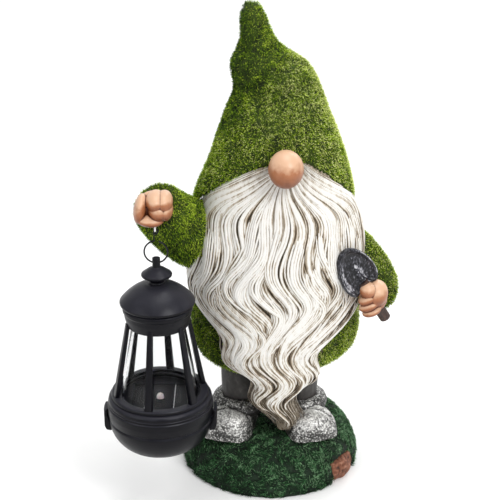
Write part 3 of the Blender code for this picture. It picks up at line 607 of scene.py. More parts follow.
def moulded_look(name, colour, roughness):
    """Moulded plastic with a fine grain and faint handling marks; faces turned up are painted lighter,
    as painted light.
    """
    look = Look(name, Specular_IOR_Level=0.17)
    marks = look.noise(9 * MM, detail=5)
    # Painted light: the lighter colour that upward faces blend towards.
    lit_top_colour = tuple(min(1.0, channel * 4.0 + 0.020) for channel in colour[:3]) + (1.0,)
    top = look.total(look.facing_up(), look.spread(marks, 0.3, 0.7, -0.08, 0.08))
    look.set("Base Color", look.ramp(top, (0.15, colour), (0.80, lit_top_colour)))
    look.set("Roughness", look.spread(marks, 0.3, 0.7, roughness * 0.85, roughness * 1.2))
    look.bump(look.noise(0.35 * MM, detail=2), 0.02 * MM, strength=0.6)
    return look.material


def clear_look():
    """Clear moulded window."""
    look = Look("clear_plastic", roughness=0.03, Base_Color=(0.97, 0.98, 0.98, 1.0), IOR=1.14,
                Transmission_Weight=1.0)
    return look.material


def cell_look():
    """Dark silicon with a faint crystal grain."""
    look = Look("silicon", roughness=0.3, Specular_IOR_Level=0.1)
    crystals = look.cells(3.2 * MM)
    look.paint(crystals, (0.1, (6, 6, 9)), (0.8, (20, 20, 27)))
    return look.material


def led_look():
    """Milky lens."""
    look = Look("led_lens", roughness=0.12, Subsurface_Weight=0.3, Subsurface_Scale=1.0 * MM)
    cloud = look.noise(1.4 * MM, detail=2)
    look.paint(cloud, (0.3, (214, 214, 208)), (0.7, (250, 250, 246)))
    return look.material


def board_look():
    """Green circuit board with copper tracks under the mask."""
    look = Look("circuit_board", roughness=0.35, Coat_Weight=0.4)
    tracks = look.cells(2.4 * MM)
    look.paint(tracks, (0.28, (28, 110, 60)), (0.34, (14, 70, 40)), (0.8, (10, 52, 30)))
    look.bump(tracks, 0.05 * MM)
    return look.material


# ================================================================= flock


def smooth_node(name, material):
    """Give a CAD node a smooth shading and a finish, and return its welded mesh."""
    obj = NODES[name]
    weld = obj.modifiers.new("weld", "WELD")
    weld.merge_threshold = 0.01 * MM
    obj.data.shade_smooth()
    finish(name, material)
    bpy.context.view_layer.update()
    graph = bpy.context.evaluated_depsgraph_get()
    return bpy.data.meshes.new_from_object(obj.evaluated_get(graph))


def finish(name, material):
    """Give a CAD node its finish."""
    data = NODES[name].data
    data.materials.clear()
    data.materials.append(material)


def scatter(mesh, per_mm2, seed):
    """Random points on a mesh with their normals."""
    rng = np.random.default_rng(seed)
    mesh.calc_loop_triangles()
    corners = np.empty(len(mesh.loop_triangles) * 3, np.int32)
    mesh.loop_triangles.foreach_get("vertices", corners)
    corners = corners.reshape(-1, 3)
    points, normals = coordinates(mesh), normals_of(mesh)
    a, b, c = (points[corners[:, k]] for k in range(3))
    areas = np.linalg.norm(np.cross(b - a, c - a), axis=1) / 2
    count = int(areas.sum() / MM ** 2 * per_mm2)
    chosen = rng.choice(len(corners), count, p=areas / areas.sum())
    u, v = rng.random((2, count, 1))
    flip = u + v > 1
    u, v = np.where(flip, 1 - u, u), np.where(flip, 1 - v, v)
    roots = a[chosen] + u * (b - a)[chosen] + v * (c - a)[chosen]
    blend = [normals[corners[chosen, k]] for k in range(3)]
    return roots, unit((1 - u - v) * blend[0] + u * blend[1] + v * blend[2]), rng


def open_to_air(roots, normals, obstacles, clearance, inside):
    """Which roots face outwards and have free space in front of them."""
    keep = np.zeros(len(roots), bool)
    outwards = ((roots - inside) * normals).sum(axis=1) > -0.2 * MM
    for i in np.nonzero(outwards)[0]:
        origin = Vector(roots[i] + normals[i] * 0.15 * MM)
        keep[i] = obstacles.ray_cast(origin, Vector(normals[i]), clearance)[0] is None
    return keep


def blades(roots, normals, rng, length, width, lean, droop, comb_size):
    """Mesh of bent blades: first the four-sided lower part of each, then all their tips."""
    count = len(roots)
    comb = np.stack([noise_at(roots, comb_size, seed) for seed in (1, 2, 3)], axis=1)
    comb = unit(comb - normals * (comb * normals).sum(axis=1, keepdims=True))
    stray = rng.normal(size=(count, 3))
    down = np.array([0.0, 0.0, -1.0])
    first = unit(normals + comb * lean + stray * 0.3 + down * droop)
    second = unit(first + rng.normal(size=(count, 3)) * 0.5 + comb * lean * 0.5 + down * droop)
    side = unit(np.cross(first, rng.normal(size=(count, 3)))) * width
    reach = length * rng.uniform(0.65, 1.15, size=(count, 1))
    root = roots - normals * 0.25 * MM
    middle = root + first * reach * 0.55
    tip = middle + second * reach * 0.45
    points = np.stack([root - side, root + side, middle + side * 0.8, middle - side * 0.8, tip], axis=1)
    points[:, :, 2] = np.maximum(points[:, :, 2], LOWEST)
    start = np.arange(count)[:, None] * 5
    faces = (start + [0, 1, 2, 3]).tolist() + (start + [3, 2, 4]).tolist()
    mesh = bpy.data.meshes.new("blades")
    mesh.from_pydata(points.reshape(-1, 3).tolist(), [], faces)
    return mesh


def even_tone(roots):
    """No part of the surface is lighter than another."""
    return 0.0


def grow(name, mesh, body, slot, looks, per_mm2, length, width, seed, inside, clearance,
         lean=0.45, droop=0.18, comb_size=9 * MM, tone_and_shade=even_tone):
    """Cover a surface with fibres; looks are (root looks, tip looks); the tone function gives an offset
    per root, above 0 lighter, and where it darkens fibres that is painted shade.
    """
    roots, normals, rng = scatter(mesh, per_mm2, seed)
    centre = inside(roots)
    neighbours = obstacle_tree(node for node in STATUE_FORMS if not name.startswith(node))
    keep = open_to_air(roots, normals, neighbours, clearance, centre)
    roots, normals = roots[keep], normals[keep]
    fibres = blades(roots, normals, rng, length, width, lean, droop, comb_size)
    root_looks, tip_looks = looks
    add_piece(name, fibres, body, root_looks + tip_looks)
    # Painted light: fibres facing SUNNY_SIDE take lighter looks; the noise and the random part vary the
    # colour at random.
    light = noise_at(roots, 9 * MM, seed) * 0.8 + normals @ np.array(SUNNY_SIDE) * 0.75
    light += rng.normal(size=len(roots)) * 0.6
    share = np.clip(np.argsort(np.argsort(light)) / len(light) + tone_and_shade(roots), 0.0, 0.999)
    slots = np.concatenate([(share * len(root_looks)).astype(int),
                            len(root_looks) + (share * len(tip_looks)).astype(int)])
    fibres.polygons.foreach_set("material_index", slots.astype(np.int32))
    fibres.update()


def on_axis(node):
    """Function giving, for roots, the point of a hollow node's own leaning axis beside them."""
    points = coordinates(NODES[node].data)
    levels = np.linspace(points[:, 2].min(), points[:, 2].max(), 24)
    near = [np.abs(points[:, 2] - z) < 8 * MM for z in levels]
    centres = np.array([(points[rows].max(axis=0) + points[rows].min(axis=0)) / 2 for rows in near])

    def beside(roots):
        x, y = (np.interp(roots[:, 2], levels, centres[:, k]) for k in (0, 1))
        return np.stack([x, y, roots[:, 2]], axis=1)
    return beside


def anywhere(roots):
    """For solid pieces every root faces outwards."""
    return roots


def obstacle_tree(names):
    """Search tree of CAD nodes, for telling free surface from covered surface."""
    points, faces = [], []
    for name in names:
        mesh = NODES[name].data
        offset = len(points)
        points += [v.co.copy() for v in mesh.vertices]
        faces += [[offset + i for i in polygon.vertices] for polygon in mesh.polygons]
    return BVHTree.FromPolygons(points, faces)


# ================================================================= beard


class BeardForm:
    """The beard's CAD surface, read by height and by turn round its own axis."""

    def __init__(self):
        self.tree = obstacle_tree(["beard"])
        low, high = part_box("beard")
        self.bottom, self.top = low.z + 1.2 * MM, high.z
        self.heights = np.linspace(self.bottom, self.top - 1 * MM, 90)
        rows = [self.front_row(z, low, high) for z in self.heights]
        kernel = np.ones(7) / 7
        self.middles, self.halves, self.depths = (
            np.convolve(np.pad(column, (3, 3), "edge"), kernel, "valid") for column in zip(*rows))

    def front_row(self, z, low, high):
        """Middle, half width and edge depth of the beard at a height, as seen from the front."""
        hits = []
        for x in np.arange(low.x, high.x, 0.5 * MM):
            hit = self.tree.ray_cast(Vector((x, low.y - 0.05, z)), Vector((0, 1, 0)))[0]
            if hit:
                hits.append(hit)
        if len(hits) < 2:
            return (low.x + high.x) / 2, 2 * MM, (low.y + high.y) / 2
        middle, half = (hits[0].x + hits[-1].x) / 2, (hits[-1].x - hits[0].x) / 2
        return middle, max(2 * MM, half), (hits[0].y + hits[-1].y) / 2

    def axis_depth(self, z):
        """Depth of the beard's own axis at a height."""
        return float(np.interp(z, self.heights, self.depths))

    def middle(self, z):
        """Sideways place of that axis."""
        return float(np.interp(z, self.heights, self.middles))

    def half_width(self, z):
        """Half the beard's width at a height."""
        return float(np.interp(z, self.heights, self.halves))

    def point(self, turn, z):
        """Surface point and normal at a turn from the front, or None."""
        z = clamp(z, self.bottom, self.top - 0.5 * MM)
        axis = Vector((self.middle(z), self.axis_depth(z), z))
        outward = Vector((math.sin(turn), -math.cos(turn), 0.0))
        hit, normal, _, _ = self.tree.ray_cast(axis + outward * 0.2, -outward)
        if hit is None or (hit - axis).dot(outward) < 0:
            return None
        return hit, normal


def swing_turns(z):
    """How many times the hair has swung from side to side on its way down to a height."""
    fall = max(0.0, SWING_TOP - z)
    return 8.1 * fall + 62.5 * fall ** 2 + 0.104


def tip_sway(z):
    """Sideways shift of the whole beard near its tip."""
    below = clamp((TIP_TOP - z) / 0.05)
    return TIP_SWAY * below * math.sin(2 * math.pi * swing_turns(z))


def fan(z, share):
    """Share of its own turn round the face that a strand has reached at a height."""
    start = 0.35 + 0.5 * abs(share)
    spread = clamp((FAN_TOP - z) / (FAN_TOP - FAN_FOOT))
    return start + (1 - start) * math.sin(math.pi / 2 * spread)


def strand_path(form, share, top, bottom, drift, lift, sink=0.0, sway=1.0, offset=0.0, flow=9.1):
    """Points, normals and relative heights of one strand.

    share places it across the beard and offset within its lock, which gathers to a point below.
    drift delays its swing, lift is its height over the form, sink how deep its ends go, sway scales
    its swing, and flow picks the way it strays.
    """
    count = max(6, int((top - bottom) / STRAND_STEP))
    points, normals, heights = [], [], []
    for i in range(count + 1):
        t = i / count
        z = top + (bottom - top) * t
        half = max(form.half_width(z), 9 * MM)
        settled = clamp((z - form.bottom) / SETTLE_HEIGHT)
        phase = 2 * math.pi * swing_turns(z) + (0.9 * share + drift) * settled
        swing = sway * min(SWING * clamp((SWING_TOP - z) / SWING_RAMP), 0.38 * half) * settled
        place = share + offset * (1 - 0.75 * t ** 3)
        turn = place * BEARD_WRAP * fan(z, place)
        stray = WANDER * clamp((WANDER_TOP - z) / 0.03) * min(1.0, half / (30 * MM))
        stray *= settled * noise.noise(Vector((place * 2.2, z * 22, flow)))
        turn += (swing * math.sin(phase) * (1 - 0.6 * share ** 2) + stray) / half
        turn = clamp(turn, -BEARD_WRAP, BEARD_WRAP)
        hit = form.point(turn, z)
        if hit is None:
            continue
        ripple = noise.noise(Vector((place * 5.0, z * 24, 3.7)))
        edge = max(0.0, abs(share) - 0.6) * max(0.0, math.sin(phase) * math.copysign(1.0, share))
        rise = lift + HOLLOW * ripple + EDGE_CURL * edge
        rise *= 1 - math.sin(turn) ** 4 * clamp((z - CHEEK_FOOT) / 0.02)
        rise *= min(1.0, 0.3 + max(0.0, NOSE_FOOT - z) / 0.03)
        rise -= sink * (1 - math.sin(math.pi * t) ** 0.5)
        points.append(hit[0] + hit[1] * rise + Vector((tip_sway(z), 0.0, 0.0)))
        normals.append(hit[1])
        # Painted shade: a strand lower over the hollows between locks gets a lower value and so darker
        # paint; the value also grows, and the paint pales, higher up the beard.
        heights.append(clamp(0.5 + 0.9 * ripple + min(0.55, 11 * (z - 0.152))))
    return points, normals, heights


def soften(rows, passes):
    """Path with its kinks averaged out."""
    rows = np.array(rows)
    for _ in range(passes):
        rows[1:-1] = 0.5 * rows[1:-1] + 0.25 * (rows[:-2] + rows[2:])
    return rows


def add_strand(parts, path, half_width, half_height, dome, level):
    """Append one tapered strand to the lists of points, faces, crests and depths.

    dome is its height within its lock and level that of its lock over the others, both 0 to 1.
    """
    points, normals, heights = path
    if len(points) < 5:
        return
    points, normals = soften(points, 3), unit(soften(normals, 6))
    ahead = unit(np.gradient(points, axis=0))
    across = unit(np.cross(ahead, normals))
    count = len(points)
    t = np.linspace(0, 1, count)
    taper = np.clip(np.minimum(t * 9, (1 - t) * 6), 0.0, 1.0) ** 0.6
    offset = len(parts["points"])
    angles = [2 * math.pi * k / STRAND_SIDES for k in range(STRAND_SIDES)]
    sides = [points + across * (math.sin(angle) * half_width * taper)[:, None]
             + normals * (math.cos(angle) * half_height * taper)[:, None] for angle in angles]
    parts["points"].extend(np.stack(sides, axis=1).reshape(-1, 3).tolist())
    parts["crest"].extend([(math.cos(angle) + 1) / 2 for angle in angles] * count)
    # Painted shade: strands at the edge of their lock, low over the hollows or in locks lying under
    # others are painted darker.
    depth = 0.35 * np.array(heights) + 0.30 * dome + 0.35 * level
    parts["depth"].extend(np.repeat(depth, STRAND_SIDES).tolist())
    for i in range(count - 1):
        for k in range(STRAND_SIDES):
            j = (k + 1) % STRAND_SIDES
            low, high = offset + i * STRAND_SIDES, offset + (i + 1) * STRAND_SIDES
            parts["faces"].append((low + k, low + j, high + j, high + k))
    last = offset + (count - 1) * STRAND_SIDES
    parts["faces"].append(tuple(offset + k for k in reversed(range(STRAND_SIDES))))
    parts["faces"].append(tuple(last + k for k in range(STRAND_SIDES)))


def strand_mesh(parts):
    """Mesh of the collected strands with what the paint needs."""
    mesh = bpy.data.meshes.new("strands")
    mesh.from_pydata(parts["points"], [], parts["faces"])
    shade(mesh)
    store(mesh, "crest", parts["crest"])
    store(mesh, "depth", parts["depth"])
    bm = bmesh.new()
    bm.from_mesh(mesh)
    bmesh.ops.recalc_face_normals(bm, faces=bm.faces)
    bm.to_mesh(mesh)
    bm.free()
    return mesh


def build_beard():
    """Beard of sculpted locks over its washed ground."""
    form = BeardForm()
    rng = np.random.default_rng(7)
    ground = even_mesh(node_copy("beard"), 0.8 * MM, 6)
    points = coordinates(ground)
    points[:, 0] += [tip_sway(z) for z in points[:, 2]]
    set_coordinates(ground, points)
    add_piece("beard_ground", ground, "statue", [under_beard_look()], ["beard"])
    hair = hair_look()

    combed = new_parts()
    locks = STRANDS_ACROSS // STRANDS_PER_LOCK
    for i in range(STRANDS_ACROSS):
        lock, place = divmod(i, STRANDS_PER_LOCK)
        dome = lock_dome(place)
        share = 2 * (i + 0.5) / STRANDS_ACROSS - 1 + rng.uniform(-0.7, 0.7) / STRANDS_ACROSS
        outwards = abs(2 * (lock + 0.5) / locks - 1) ** 1.5
        bottom = form.bottom + outwards * 9 * MM + rng.uniform(0, 4) * MM
        drift = wave_drift(share) + 0.45 * math.sin(lock * 2.4) + rng.uniform(-0.15, 0.15)
        path = strand_path(form, share, form.top - 0.5 * MM, bottom, drift,
                           lift=(1.6 * dome + 0.4 * (lock % 2)) * MM)
        half = rng.uniform(0.50, 0.95) * (2 * BEARD_WRAP / STRANDS_ACROSS)
        widths = np.array([max(0.45 * MM, half * fan(point.z, share) * form.half_width(point.z))
                           for point in path[0]])
        heights = np.minimum(widths, rng.uniform(0.8, 1.15) * MM)
        add_strand(combed, path, widths, heights, dome, rng.uniform(0.0, 0.5))
    add_piece("beard_combed_hair", strand_mesh(combed), "statue", [hair])

    loose = new_parts()
    for lock in range(OVER_LOCKS):
        share = LOOSE_REACH * (2 * (lock * GOLDEN % 1.0) - 1)
        top = rng.uniform(0.100, 0.220)
        bottom = max(form.bottom + 2 * MM + abs(share) * 44 * MM, top - rng.uniform(0.055, 0.11))
        drift = wave_drift(share) + rng.uniform(-0.7, 0.7)
        count = rng.integers(5, 9)
        for place in range(count):
            offset = place - (count - 1) / 2
            dome = math.cos(math.pi * offset / count)
            path = strand_path(form, share, top - abs(offset) * 3 * MM, bottom + abs(offset) * 3 * MM,
                               drift, lift=(1.7 + 2.2 * dome) * MM, sink=3.6 * MM, sway=1.25,
                               offset=offset * 0.023, flow=lock * 0.37)
            width = rng.uniform(0.8, 1.25) * MM
            add_strand(loose, path, width, width * 0.9, dome, rng.uniform(0.5, 0.9))
    add_piece("beard_loose_locks", strand_mesh(loose), "statue", [hair])


def wave_drift(share):
    """How much later a strand swings than the middle one, by its place across the beard."""
    return 1.2 * math.sin(3.1 * share + 0.5)


def new_parts():
    """Empty lists that strands are collected in."""
    return {"points": [], "faces": [], "crest": [], "depth": []}


def lock_dome(place):
    """Height of a strand across its lock: 1 in the middle, lower at the edges."""
    offset = (place - (STRANDS_PER_LOCK - 1) / 2) / (STRANDS_PER_LOCK / 2)
    return math.cos(offset * math.pi / 2)


# =============================================================== the rest


def build_flock():
    """Flocked hat, coat and sleeves."""
    # Painted shade: the ground under the fibres is dark green and the fibre roots are darker than their
    # pale tips, as the shade deep in the flock against its lit tips.
    dark, light = srgb(28, 38, 8), srgb(66, 84, 20)
    skin = flock_skin("flock_ground", dark, light)
    roots = fibre_looks("fibre_root", (30, 44, 8), (54, 76, 14), (82, 110, 20), (110, 138, 28))
    tips = fibre_looks("fibre_tip", (74, 106, 14), (126, 164, 26), (170, 204, 42), (212, 234, 78),
                       (242, 248, 156))
    common = dict(body="statue", slot="green_flock", looks=(roots, tips), per_mm2=FIBRES_PER_MM2,
                  length=FIBRE_LENGTH, width=FIBRE_WIDTH, clearance=CLEARANCE)
    for seed, (node, inside, tone_and_shade) in enumerate((
            ("hat", on_axis("hat"), hat_tone_and_tip_shade),
            ("coat", on_axis("coat"), even_tone),
            # painted shade: the right sleeve's fibres all take darker looks
            ("right_sleeve", anywhere, lambda roots: -0.20),
            ("left_sleeve", anywhere, even_tone)), start=11):
        mesh = smooth_node(node, skin)
        grow(node + "_fibres", mesh, seed=seed, inside=inside, tone_and_shade=tone_and_shade, **common)


def hat_tone_and_tip_shade(roots):
    """Hat lighter overall, with painted shade on its tip above a slanting line."""
    above = roots[:, 2] - HAT_SHADE_FOOT - 1.1 * (roots[:, 0] + 0.029)
    return 0.12 - 0.36 * np.clip(above / (14 * MM), 0.0, 1.0)


def build_mound():
    """Painted grass on the mound and the stone set in it."""
    skin = flock_skin("grass_ground", srgb(12, 24, 14), srgb(34, 56, 36))
    roots = fibre_looks("grass_root", (14, 32, 16), (26, 54, 30))
    tips = fibre_looks("grass_tip", (30, 62, 34), (46, 90, 52), (76, 130, 80), (136, 178, 132))
    mesh = smooth_node("base_mound", skin)
    grow("base_mound_grass", mesh, "statue", "grass", (roots, tips), GRASS_PER_MM2, GRASS_LENGTH,
         GRASS_WIDTH, 21, above_rim, GRASS_CLEARANCE, lean=2.6, droop=0.0, comb_size=8 * MM)

    stone = even_mesh(node_copy("base_stone"), 0.45 * MM, 60)
    points = coordinates(stone)
    low, high = points.min(axis=0), points.max(axis=0)
    centre, half = (low + high) / 2, (high - low) / 2
    ball = unit((points - centre) / half) * half + centre
    set_coordinates(stone, points * (1 - STONE_ROUNDNESS) + ball * STONE_ROUNDNESS)
    points = coordinates(stone)
    chips = noise_at(points, 7 * MM, 4) * 1.6 * MM + noise_at(points, 1.8 * MM, 5) * 0.25 * MM
    push_out(stone, chips)
    points = coordinates(stone)
    points[:, 2] = np.maximum(points[:, 2], LOWEST)
    set_coordinates(stone, points)
    store_relief(stone, 25, 0.5 * MM)
    add_piece("stone_face", stone, "statue", [stone_look()], ["base_stone"])


def above_rim(roots):
    """Points inside the mound, placed so that its underside counts as facing inwards."""
    low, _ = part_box("base_mound")
    centre = roots.copy()
    centre[:, :2] *= 0.5
    centre[:, 2] = np.where(roots[:, 2] < low.z + 1.5 * MM, roots[:, 2] - 0.02, low.z + 1 * MM)
    return centre


def build_feet():
    """Boots, rolled tops and trouser legs."""
    trouser = trouser_look()
    leather, roll = boot_look("dry_brushed_boot", 0.065), boot_look("dry_brushed_roll", -0.14)
    for side in ("right", "left"):
        for part, boot, voxel, rounding, lumps in (("_boot", leather, 0.55 * MM, 30, 0.14),
                                                   ("_boot_cuff", roll, 0.5 * MM, 12, 0.3)):
            mesh = even_mesh(node_copy(side + part), voxel, rounding)
            points = coordinates(mesh)
            dents = noise_at(points, 7 * MM, 3) * 0.4 + noise_at(points, 1.3 * MM, 6) * lumps
            dents += boot_form(points, side) if part == "_boot" else CUFF_FULLNESS
            push_out(mesh, dents * MM)
            store_relief(mesh, 14, 0.45 * MM)
            add_piece(side + part + "_skin", mesh, "statue", [boot], [side + part])
        mesh = even_mesh(node_copy(side + "_leg"), 0.7 * MM, 10)
        folds = noise_at(coordinates(mesh) * [1.0, 1.0, 0.45], 7 * MM, 8) * 0.5 * MM
        push_out(mesh, folds - 0.2 * MM)
        add_piece(side + "_trouser_leg", mesh, "statue", [trouser], [side + "_leg"])


def boot_form(points, side):
    """Fuller toe and two bent folds across the instep, in millimetres."""
    low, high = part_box(side + "_boot")
    along = (high.y - points[:, 1]) / (high.y - low.y)
    across = (points[:, 0] - (low.x + high.x) / 2) / (high.x - low.x)
    upper = np.clip((points[:, 2] - low.z) / (high.z - low.z) * 2 - 0.5, 0, 1)
    folds = np.zeros(len(points))
    for place, width in ((0.52, 0.045), (0.68, 0.035)):
        folds -= 0.9 * np.exp(-((along - place - 0.5 * across ** 2) / width) ** 2)
    toe = 2.0 * np.exp(-((along - 0.72) / 0.25) ** 2) + 0.5
    return (folds + toe) * upper


def build_nose():
    """Round nose."""
    low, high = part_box("nose")
    centre, half = (low + high) / 2, (high - low) / 2
    bm = bmesh.new()
    matrix = Matrix.Translation(centre) @ Matrix.Diagonal((half.x, half.y, half.z * 0.98, 1.0))
    bmesh.ops.create_uvsphere(bm, u_segments=72, v_segments=48, radius=1.0, matrix=matrix)
    mesh = shade(mesh_from(bm, "nose"))
    store_relief(mesh, 4, 2 * MM)
    add_piece("nose_skin", mesh, "statue", [skin_look()], ["nose"])


def build_fists():
    """Fists with curled fingers."""
    skin = skin_look()
    right = (
        ((1.2, -0.4, 4.4), (6.4, 11.2, 6.2), 0),
        ((6.4, 0.0, 4.0), (5.4, 10.8, 6.4), 0),
        ((3.0, -0.2, -1.2), (6.8, 11.4, 7.0), 0),
        ((7.2, 0.2, -1.6), (4.6, 10.6, 6.6), 0),
        ((-8.6, -1.0, -0.6), (4.0, 9.8, 9.6), 10),
        ((-2.6, -2.2, -7.2), (8.8, 9.4, 4.2), 4),
        ((0.0, 3.0, 0.0), (11.0, 8.0, 9.6), 0),
    )
    left = (
        ((2.2, 0.0, 2.6), (8.2, 10.4, 9.2), 20),
        ((-3.2, -4.2, 6.6), (6.0, 6.6, 5.4), 20),
        ((-3.4, -4.6, 1.2), (6.6, 6.4, 3.6), -30),
        ((-2.2, -4.8, -3.6), (7.2, 6.4, 3.4), -26),
        ((-0.2, -4.2, -8.2), (6.6, 6.2, 3.2), -22),
        ((1.0, 2.0, -1.5), (9.4, 8.6, 10.2), 10),
    )
    for side, lumps in (("right", right), ("left", left)):
        low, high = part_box(side + "_fist")
        mesh = join_ellipsoids(lumps, (low + high) / 2, 0.42 * MM, 5)
        store_relief(mesh, 16, 0.5 * MM)
        add_piece(side + "_hand", mesh, "statue", [skin], [side + "_fist"])


def trowel_frame():
    """Matrix whose Z runs along the trowel to its tip and whose -Y is the blade's front."""
    blade, handle = coordinates(NODES["trowel_blade"].data), coordinates(NODES["trowel_handle"].data)
    along = Vector((blade.mean(axis=0) - handle.mean(axis=0)).tolist()).normalized()
    spread = blade - blade.mean(axis=0)
    normal = Vector(np.linalg.svd(spread, full_matrices=False)[2][2].tolist())
    if normal.y > 0:
        normal = -normal
    across = along.cross(normal).normalized()
    normal = across.cross(along)
    rotation = Matrix((across, -normal, along)).transposed().to_4x4()
    return Matrix.Translation(handle.mean(axis=0).tolist()) @ rotation


def spade_outline(half, foot, tip):
    """Closed outline of the blade in its own plane, from the notch round one lobe to the tip."""
    lobe = ((0.0, 0.08), (0.22, 0.03), (0.45, -0.07), (0.72, -0.10), (0.94, 0.00), (1.06, 0.18),
            (1.04, 0.38), (0.92, 0.60), (0.70, 0.80), (0.38, 0.95), (0.0, 1.0))
    corners = [Vector((x * half, foot + z * (tip - foot), 0.0)) for x, z in lobe]
    corners += [Vector((-p.x, p.y, 0.0)) for p in reversed(corners[1:-1])]
    count = len(corners)
    outline = []
    for i in range(count):
        before, here, after, beyond = (corners[(i + k) % count] for k in (-1, 0, 1, 2))
        start, end = (after - before) / 6, (beyond - here) / 6
        outline += interpolate_bezier(here, here + start, after - end, after, 5)[:-1]
    return outline


def build_trowel():
    """Dished spade blade with a thick rolled edge and a ridged socket, and its handle."""
    frame_in_world = trowel_frame()
    to_local = frame_in_world.inverted()
    local = np.array([to_local @ v.co for v in NODES["trowel_blade"].data.vertices])
    half, tip, foot = np.abs(local[:, 0]).max(), local[:, 2].max(), local[:, 2].min()
    outline = spade_outline(half, foot, tip)
    middle = foot + 0.5 * (tip - foot)
    # From the middle of the back, over the rim, to the middle of the dished front.
    back = ((0.0, 1.6), (0.6, 1.6), (0.9, 1.4), (0.985, 0.9), (1.0, 0.0), (1.0, -1.3))
    front = ((0.98, -1.8), (0.94, -2.1), (0.89, -2.1), (0.85, -1.5), (0.77, -0.5), (0.64, 0.1),
             (0.45, 0.3), (0.2, 0.3), (0.0, 0.3))
    bm = bmesh.new()
    rings = []
    for share, height in back + front:
        ridged = (share, height) in front and share < 0.85
        ring = []
        for corner in (outline if share else outline[:1]):
            x, z = corner.x * share, middle + (corner.y - middle) * share
            below = clamp((middle + 3 * MM - z) / (8 * MM))
            ridge = 4.0 * below * math.exp(-(x / (2.1 * MM)) ** 2) if ridged else 0.0
            ring.append(bm.verts.new(frame_in_world @ Vector((x, (height - ridge) * MM, z))))
        rings.append(ring)
    bridge(bm, rings, len(outline))
    bmesh.ops.recalc_face_normals(bm, faces=bm.faces)
    mesh = even_mesh(mesh_from(bm, "spade"), 0.3 * MM, 2)
    store_relief(mesh, 22, 0.45 * MM)
    add_piece("trowel_head", mesh, "statue", [iron_look()], ["trowel_blade"])
    mesh = even_mesh(node_copy("trowel_handle"), 0.35 * MM, 3)
    add_piece("trowel_grip", mesh, "statue", [wood_look()], ["trowel_handle"])


# =============================================================== lantern


def lantern_axis():
    """Plan position of the lantern's upright axis."""
    low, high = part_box("lantern_collar")
    return ((low.x + high.x) / 2, (low.y + high.y) / 2)


def add_turned(name, profile, corner, material, replaced=()):
    """Add a smooth turned part of the lantern; the profile is closed and in metres."""
    mesh = turned_mesh(rounded(profile, corner), lantern_axis(), LANTERN_STEPS)
    return add_piece(name, mesh, "lantern", [material], replaced)


def arc(radius, z, half_width, half_height, start, end, count):
    """Points on an elliptic arc of a profile; angles in degrees from outwards towards up."""
    angles = np.radians(np.linspace(start, end, count))
    return [(radius + half_width * math.cos(a), z + half_height * math.sin(a)) for a in angles]


def build_finial(black):
    """Stem over a domed disc and a waisted neck, with a cross hole for the ring."""
    low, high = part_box("lantern_finial")
    disc = (high.x - low.x) / 2
    stem, top, foot = 2.55 * MM, high.z, low.z
    profile = [(0.0, top), (stem, top), (stem, foot + 11.0 * MM), (5.2 * MM, foot + 9.8 * MM)]
    profile += arc(disc - 1.4 * MM, foot + 5.7 * MM, 1.4 * MM, 1.3 * MM, 70, -70, 9)
    profile += [(6.0 * MM, foot + 2.6 * MM), (4.7 * MM, foot + 1.4 * MM), (5.4 * MM, foot), (0.0, foot)]
    mesh = turned_mesh(rounded(profile, 0.5 * MM), lantern_axis(), LANTERN_STEPS)
    drill = turned_mesh([(0.0, 5 * MM), (1.0 * MM, 5 * MM), (1.0 * MM, -5 * MM), (0.0, -5 * MM)],
                        (0.0, 0.0), 24)
    centre = Vector(joint_place("lantern_fore_swing")) + Vector((0, 0, 0.25 * MM))
    drill.transform(Matrix.Translation(centre) @ Matrix.Rotation(math.pi / 2, 4, "Y"))
    cutter = bpy.data.objects.new("drill", drill)
    bpy.context.scene.collection.objects.link(cutter)
    mesh = baked_mesh(mesh, ("BOOLEAN", {"object": cutter, "operation": "DIFFERENCE"}))
    bpy.data.objects.remove(cutter)
    add_piece("finial", mesh, "lantern", [black], ["lantern_finial"])


def build_roof(black):
    """Domed roof with a rolled rim, open below."""
    low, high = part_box("lantern_roof")
    radius, neck = (high.x - low.x) / 2, 5.6 * MM
    rim = low.z + 2.4 * MM
    dome = []
    for i in range(19):
        share = math.sin(math.pi / 2 * i / 18)
        dome.append((neck + (radius - neck) * share, rim + (high.z - rim) * (1 - share ** 1.7) ** 0.9))
    profile = [(0.0, high.z)] + dome
    profile += arc(radius - 0.9 * MM, rim - 0.2 * MM, 0.9 * MM, 1.5 * MM, -10, -90, 6)
    profile += [(21.6 * MM, low.z), (20.5 * MM, rim + 0.2 * MM), (12.0 * MM, high.z - 4 * MM),
                (0.0, high.z - 2.5 * MM)]
    add_turned("roof", profile, 0.3 * MM, black, ["lantern_roof"])


